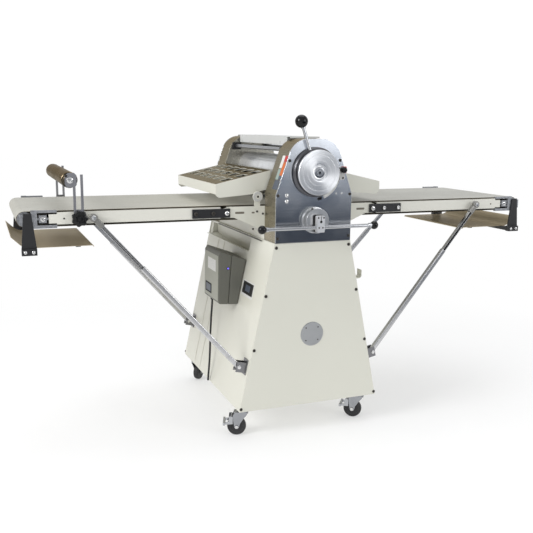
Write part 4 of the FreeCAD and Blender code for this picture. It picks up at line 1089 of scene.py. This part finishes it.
# ---------------------------------------------------------------- casters
# direction (x, y) from the swivel to the wheel
TRAILS = {"left_front_": (-0.94, 0.34), "right_front_": (-0.8, 0.6),
          "left_rear_": (0.65, 0.76), "right_rear_": (0.3, 0.954)}
AXLE = (26.0, 0, 37.5)
# radius, distance from the wheel's middle plane
TYRE_HALF = [(25, 10.5), (31, 12), (34.5, 11.5), (36.6, 8), (37.5, 3)]
CORE_HALF = [(5.1, 11.5), (10, 11.5), (11, 8), (22, 7), (25.5, 10.9)]
# radius, z
SWIVEL_PROFILE = [(8, 114.8), (22, 114.8), (22, 111.5), (18, 110.5), (20, 106), (24, 103.5),
                  (24, 99), (20, 97), (0, 97)]
# x along the trail, z
CHEEK = [(-16, 95), (34, 95), (42, 84), (40, 62), (36, 40), (34.5, 33), (31, 29.5), (26, 28.5),
         (21, 29.5), (17.5, 33), (12, 50), (-2, 72), (-14, 86)]
BRAKE_ARM = [(41, 50), (56, 49), (78, 48.5), (80, 54), (78, 59), (58, 60), (56, 82), (46, 83),
             (41, 78)]


def caster_wheel(tag, place):
    part = Part(RUBBER, WHEEL_CORE, place=place)
    part.spin(symmetric(TYRE_HALF), AXLE, sides=72)
    part.use(WHEEL_CORE)
    part.spin(symmetric(CORE_HALF), AXLE, sides=56)
    make_piece(tag + "wheel_tyre", part, tag + "caster_wheel", (tag + "caster_wheel",),
               bevel=0.3)


def caster_fork(tag, place):
    part = Part(FORK, BRIGHT, place=place)
    part.spin(SWIVEL_PROFILE, (0, 0, 0), "z")
    part.column(rounded(58, 37, 9, 5, (9, 0)), 91, 97.5)
    for sign in (-1, 1):
        part.prism(CHEEK, sign * 15.2, sign * 18)
    part.use(BRIGHT)
    part.rod(5, -20.5, 20.5, AXLE)
    for sign in (-1, 1):
        part.spin([(8, 18), (8, 21.6), (6.8, 22.6), (0, 22.8)], AXLE, sides=6, sign=sign)
    make_piece(tag + "fork_shell", part, tag + "caster_fork", (tag + "caster_fork",),
               bevel=0.8)


def caster_brake(tag, place):
    """Two side arms joined by a pedal bar, on a thin cross pin."""
    part = Part(CHROME, place=place)
    for sign in (-1, 1):
        part.prism(BRAKE_ARM, sign * 20.2, sign * 22.8)
    part.prism(rounded(10, 11, 3, 4, (75, 54)), -33, 33)
    part.rod(3, -24, 24, (46, 0, 78), sides=20)
    make_piece(tag + "brake_lever", part, tag + "brake_pedal", (tag + "brake_pedal",),
               bevel=0.9)


for side, end, tag in CORNERS:
    trail_x, trail_y = TRAILS[tag]
    place = (Matrix.Translation(Vector((side * 258, end * 332, 0)))
             @ Matrix.Rotation(math.atan2(trail_y, trail_x), 4, "Z"))
    caster_wheel(tag, place)
    caster_fork(tag, place)
    if end < 0:
        caster_brake(tag, place)

# ---------------------------------------------------------------- control box
BOX_FRONT, BOX_REAR = [corner[1] for corner in span("control_box")]
BOX_WIDE = BOX_REAR - BOX_FRONT
# x, z of the corners next to the machine, and of the seam between case and lid
inner_top, inner_foot = Vector((-183, 668)), Vector((-220.5, 484))
seam_top = inner_top.lerp(Vector((-290, 706)), 0.58)
seam_foot = inner_foot.lerp(Vector((-297, 490)), 0.52)

part = Part(BOX_BODY)
part.prism([inner_top, seam_top, seam_foot, inner_foot], BOX_FRONT + 1.5, BOX_REAR - 1.5)
make_piece("control_case", part, "frame", ("control_box",), bevel=4.0, segments=4)

part = Part(BOX_BODY)
part.prism([(seam_top.x - 0.9, seam_top.y + 0.2), (-290, 706), (-300, 690), (-303, 498),
            (-297, 490), (seam_foot.x - 0.9, seam_foot.y)], BOX_FRONT, BOX_REAR)
make_piece("control_lid", part, "frame", bevel=4.0, segments=4)


def lid_plate(part, low, high, front, rear, thickness):
    """Plate on the outer face of the lid; low and high are shares of the face's height."""
    (low_x, low_z), (high_x, high_z) = [(-300.3 - 3.0 * (1 - t), 498 + 192 * t)
                                        for t in (low, high)]
    part.prism([(low_x, low_z), (high_x, high_z), (high_x - thickness, high_z),
                (low_x - thickness, low_z)], front, rear)


part = Part(BOX_LID, WHITE, DARK_PRINT_AND_SHADE, SLATE)
lid_plate(part, 0.02, 0.98, BOX_FRONT + 7, BOX_REAR - 7, 0.6)
# material, low and high share of the height, front and rear share of the width, thickness
for material, low, high, front, rear, thickness in (
        (WHITE, 0.62, 0.87, 0.20, 0.74, 1.0),
        (DARK_PRINT_AND_SHADE, 0.09, 0.31, 0.47, 0.90, 1.0),
        (SLATE, 0.125, 0.275, 0.53, 0.84, 1.4)):
    part.use(material)
    lid_plate(part, low, high, BOX_FRONT + front * BOX_WIDE, BOX_FRONT + rear * BOX_WIDE,
              thickness)
make_piece("control_face", part, "frame", bevel=0.25)

part = Part(SCREW, LAMP)
lamp_centre = (-262, BOX_FRONT, 636)
part.spin([(6, 1), (6, -0.8), (5, -1.6)], lamp_centre, sides=28)
part.use(LAMP)
part.spin([(3.6, -1.2), (3.4, -2.6), (0, -3.4)], lamp_centre, sides=24)
make_piece("pilot_lamp_unit", part, "frame", bevel=0)

part = Part(KNOB)
part.spin([(10, 0), (10, -6), (8, -8), (8, -16), (5, -19)], (-276, 14, 490), "z", 24)
make_piece("cord_gland", part, "frame", bevel=0.5)

# ---------------------------------------------------------------- supply cord
CORD_PATH = [
    (-276, 14, 480), (-276, 14, 462), (-279, 14, 425), (-285, 8, 370), (-291, -4, 320),
    (-296, -16, 270), (-300, -22, 220), (-303, -20, 175), (-304, -14, 140), (-304, -10, 122),
]
curve = bpy.data.curves.new("supply_cord", "CURVE")
curve.dimensions = "3D"
curve.bevel_depth = 4.2 * MM
curve.bevel_resolution = 5
curve.use_fill_caps = True
spline = curve.splines.new("NURBS")
spline.points.add(len(CORD_PATH) - 1)
for point, (x, y, z) in zip(spline.points, CORD_PATH):
    point.co = (x * MM, y * MM, z * MM, 1)
spline.use_endpoint_u = True
spline.order_u = 4
cord = add_object("supply_cord", curve)
curve.materials.append(CORD)
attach(cord, "frame")


# ---------------------------------------------------------------- labels, badge and folds
def base_flank(z):
    """Half width of the base at height z."""
    return 296 - (296 - 159) / (767 - 118) * (z - 118)


def head_flank(z):
    """Half width of the head at height z."""
    return 157 - (z - 950) * ((157 - 85.25) / (1155 - 950))


def flank_plate(part, side, flank, y, z, thickness):
    """Plate lying on a sloping flank, between two y and two z."""
    outline = [(flank(z[0]) + 0.1, z[0]), (flank(z[1]) + 0.1, z[1]),
               (flank(z[1]) + thickness, z[1]), (flank(z[0]) + thickness, z[0])]
    part.prism(mirrored(outline, side), *y)


part = Part(WHITE, DARK_PRINT_AND_SHADE, SLATE)
for material, y, z, thickness in ((WHITE, (-287, -163), (530, 592), 0.8),
                                  (DARK_PRINT_AND_SHADE, (-281, -169), (540, 587), 1.2),
                                  (SLATE, (-250, -200), (551, 576), 1.6)):
    part.use(material)
    flank_plate(part, -1, base_flank, y, z, thickness)
make_piece("side_label", part, "frame", bevel=0.2)

part = Part(WHITE, RED, ORANGE, PALE_GREEN, SLATE)
for material, y, z in ((WHITE, (-366, -342), (1046, 1092)), (RED, (-391, -368), (1070, 1092)),
                       (ORANGE, (-391, -368), (1020, 1068)),
                       (PALE_GREEN, (-366, -342), (1004, 1042)),
                       (SLATE, (-391, -342), (968, 1002)), (SLATE, (-391, -368), (1004, 1018))):
    part.use(material)
    flank_plate(part, -1, head_flank, y, z, 0.5)
make_piece("head_labels", part, "frame", bevel=0.1)

BADGE_X, BADGE_Z = 3, 404
part = Part(BLANK, SCREW)
part.spin([(48, -0.1), (48, -0.8), (47, -1.4), (43, -1.4), (42.3, -0.9), (0, -0.9)],
          (BADGE_X, -BASE_Y, BADGE_Z), sides=96)
part.use(SCREW)
for k in range(4):
    angle = math.pi / 4 + math.pi / 2 * k
    part.screw((BADGE_X + 36 * math.cos(angle), -BASE_Y - 0.8, BADGE_Z + 36 * math.sin(angle)),
               2.6, 1.4, socket=False)
make_piece("blank_badge", part, "frame", bevel=0)

# Upright seams on the side sheets, and a dark strip under the head on each side as painted shadow
# of the gap there
part = Part(CREAM, SHADE_LINING)
for side, _ in SIDES:
    for y in (150, 232):
        flank_plate(part, side, base_flank, (y, y + 5), (130, 698), 1.6)
part.use(SHADE_LINING)
for side, _ in SIDES:
    part.box((side * 165.1, side * 166.6), (-276, 268), (759.4, 764.6))
make_piece("panel_folds", part, "frame")


# ---------------------------------------------------------------- floor and cards, in metres
def floor_material():
    """Near-white floor that glows in part near the machine, lightening its shadow, and turns into
    an even glow away from it.
    """
    look = Look("stage_floor")
    cloud = look.mask(look.noise(scale=2), start=0.4, end=0.7)
    look.set({"Base Color": look.mix(cloud, (0.95, 0.95, 0.95), (0.97, 0.97, 0.97)),
              "Roughness": 0.7})
    distance = look.node("ShaderNodeVectorMath", {0: look.coords}, operation="LENGTH")
    amount = look.remap(distance.outputs["Value"], to=(0.42, 1.0), source=(0.7, 2.4))
    glow = look.node("ShaderNodeEmission", {0: (1.0, 1.0, 1.0)})
    blend = look.node("ShaderNodeMixShader",
                      {0: amount, 1: look.shader.outputs[0], 2: glow.outputs[0]})
    look.put(look.surface, blend.outputs[0])
    return look.material


def card_material(name, dark, light):
    look = Look(name)
    look.set({"Base Color": look.mix(look.noise(scale=1.5), dark, light), "Roughness": 0.95})
    return look.material


def fading_card_material():
    """Glowing card, dark at the foot and bright at the top."""
    look = Look("stage_card_fade", principled=False)
    ripple = look.remap(look.noise(scale=1.2), to=(-0.06, 0.06), source=(0.3, 0.7))
    height = look.calc("ADD", look.height_between(0.0, 1.3), ripple)
    tone = look.ramp(height, [
        (0.10, (0.055, 0.066, 0.09)), (0.42, (0.10, 0.12, 0.155)), (0.60, (0.24, 0.27, 0.32)),
        (0.72, (0.62, 0.66, 0.72)), (0.84, (1.25, 1.27, 1.30))])
    look.put(look.surface, look.node("ShaderNodeEmission", {0: tone}).outputs[0])
    return look.material


def stage_quad(name, points, material, seen=False):
    data = bpy.data.meshes.new(name)
    data.from_pydata(points, [], [(0, 1, 2, 3)])
    made = add_object(name, data)
    data.materials.append(material)
    for face in data.polygons:
        face.use_smooth = True
    made.visible_camera = seen


stage_quad("stage_floor", [(-30, -30, 0), (30, -30, 0), (30, 30, 0), (-30, 30, 0)],
           floor_material(), seen=True)
stage_quad("stage_card_front",
           [(-1.0, -5.6, 0.02), (6.4, -4.8, 0.02), (6.4, -4.8, 1.30), (-1.0, -5.6, 1.30)],
           fading_card_material())
stage_quad("stage_card_low",
           [(-0.8, -5.4, 0.03), (6.0, -5.0, 0.03), (4.2, -1.9, 0.03), (0.1, -1.9, 0.03)],
           card_material("stage_card", (0.065, 0.078, 0.105), (0.085, 0.10, 0.13)))
stage_quad("stage_card_left",
           [(-5.5, -1.0, 0.02), (-4.2, 4.6, 0.02), (-4.2, 4.6, 1.9), (-5.5, -1.0, 1.9)],
           card_material("stage_card_warm", (0.20, 0.15, 0.09), (0.24, 0.18, 0.11)))

# ---------------------------------------------------------------- world
WORLD_LIGHT = (0.66, 0.67, 0.68, 1)
WORLD_SEEN = (1.02, 1.02, 1.02, 1)  # what the camera sees

world = bpy.data.worlds.new("studio")
bpy.context.scene.world = world
world.use_nodes = True
tree = world.node_tree
light_path = tree.nodes.new("ShaderNodeLightPath")
sky = tree.nodes.new("ShaderNodeMix")
sky.data_type = "RGBA"
sky.inputs[6].default_value = WORLD_LIGHT
sky.inputs[7].default_value = WORLD_SEEN
tree.links.new(light_path.outputs["Is Camera Ray"], sky.inputs[0])
tree.links.new(sky.outputs[2], tree.nodes["Background"].inputs[0])
tree.nodes["Background"].inputs[1].default_value = 1.0


# ---------------------------------------------------------------- lights, in metres and watts
def area_light(name, place, target, size, power):
    light = bpy.data.lights.new(name, "AREA")
    light.shape = "RECTANGLE"
    light.size, light.size_y = size
    light.energy = power
    made = add_object(name, light)
    made.location = place
    aim = Vector(target) - Vector(place)
    made.rotation_euler = aim.to_track_quat("-Z", "Y").to_euler()
    made.visible_camera = False


area_light("key", place=(-4.4, -1.4, 2.9), target=(0, 0, 0.6), size=(2.0, 2.0), power=145)
area_light("top", place=(0.4, 0.6, 4.2), target=(0, 0, 0.4), size=(3.0, 3.0), power=48)
area_light("fill", place=(3.2, -4.0, 2.2), target=(0.2, 0, 0.7), size=(1.6, 2.2), power=52)

# ---------------------------------------------------------------- camera
CAMERA_PLACE = Vector((-1.1771, -2.8778, 1.1944))
# turn to the right of +Y, dip below the horizon, and tilt about the view
yaw, pitch, roll = math.radians(21.66), math.radians(10.83), math.radians(0.62)
forward = Vector((math.sin(yaw) * math.cos(pitch), math.cos(yaw) * math.cos(pitch),
                  -math.sin(pitch)))
level_right = Vector((math.cos(yaw), -math.sin(yaw), 0))
level_up = level_right.cross(forward)
right = level_right * math.cos(roll) + level_up * math.sin(roll)
up = level_up * math.cos(roll) - level_right * math.sin(roll)
camera = bpy.data.cameras.new("camera")
camera.sensor_fit = "HORIZONTAL"
camera.sensor_width = 36
camera.lens = 49.08
camera_object = add_object("camera", camera)
camera_object.matrix_world = (Matrix.Translation(CAMERA_PLACE)
                              @ Matrix((right, up, -forward)).transposed().to_4x4())
bpy.context.scene.camera = camera_object
bpy.context.scene.view_settings.view_transform = "Standard"
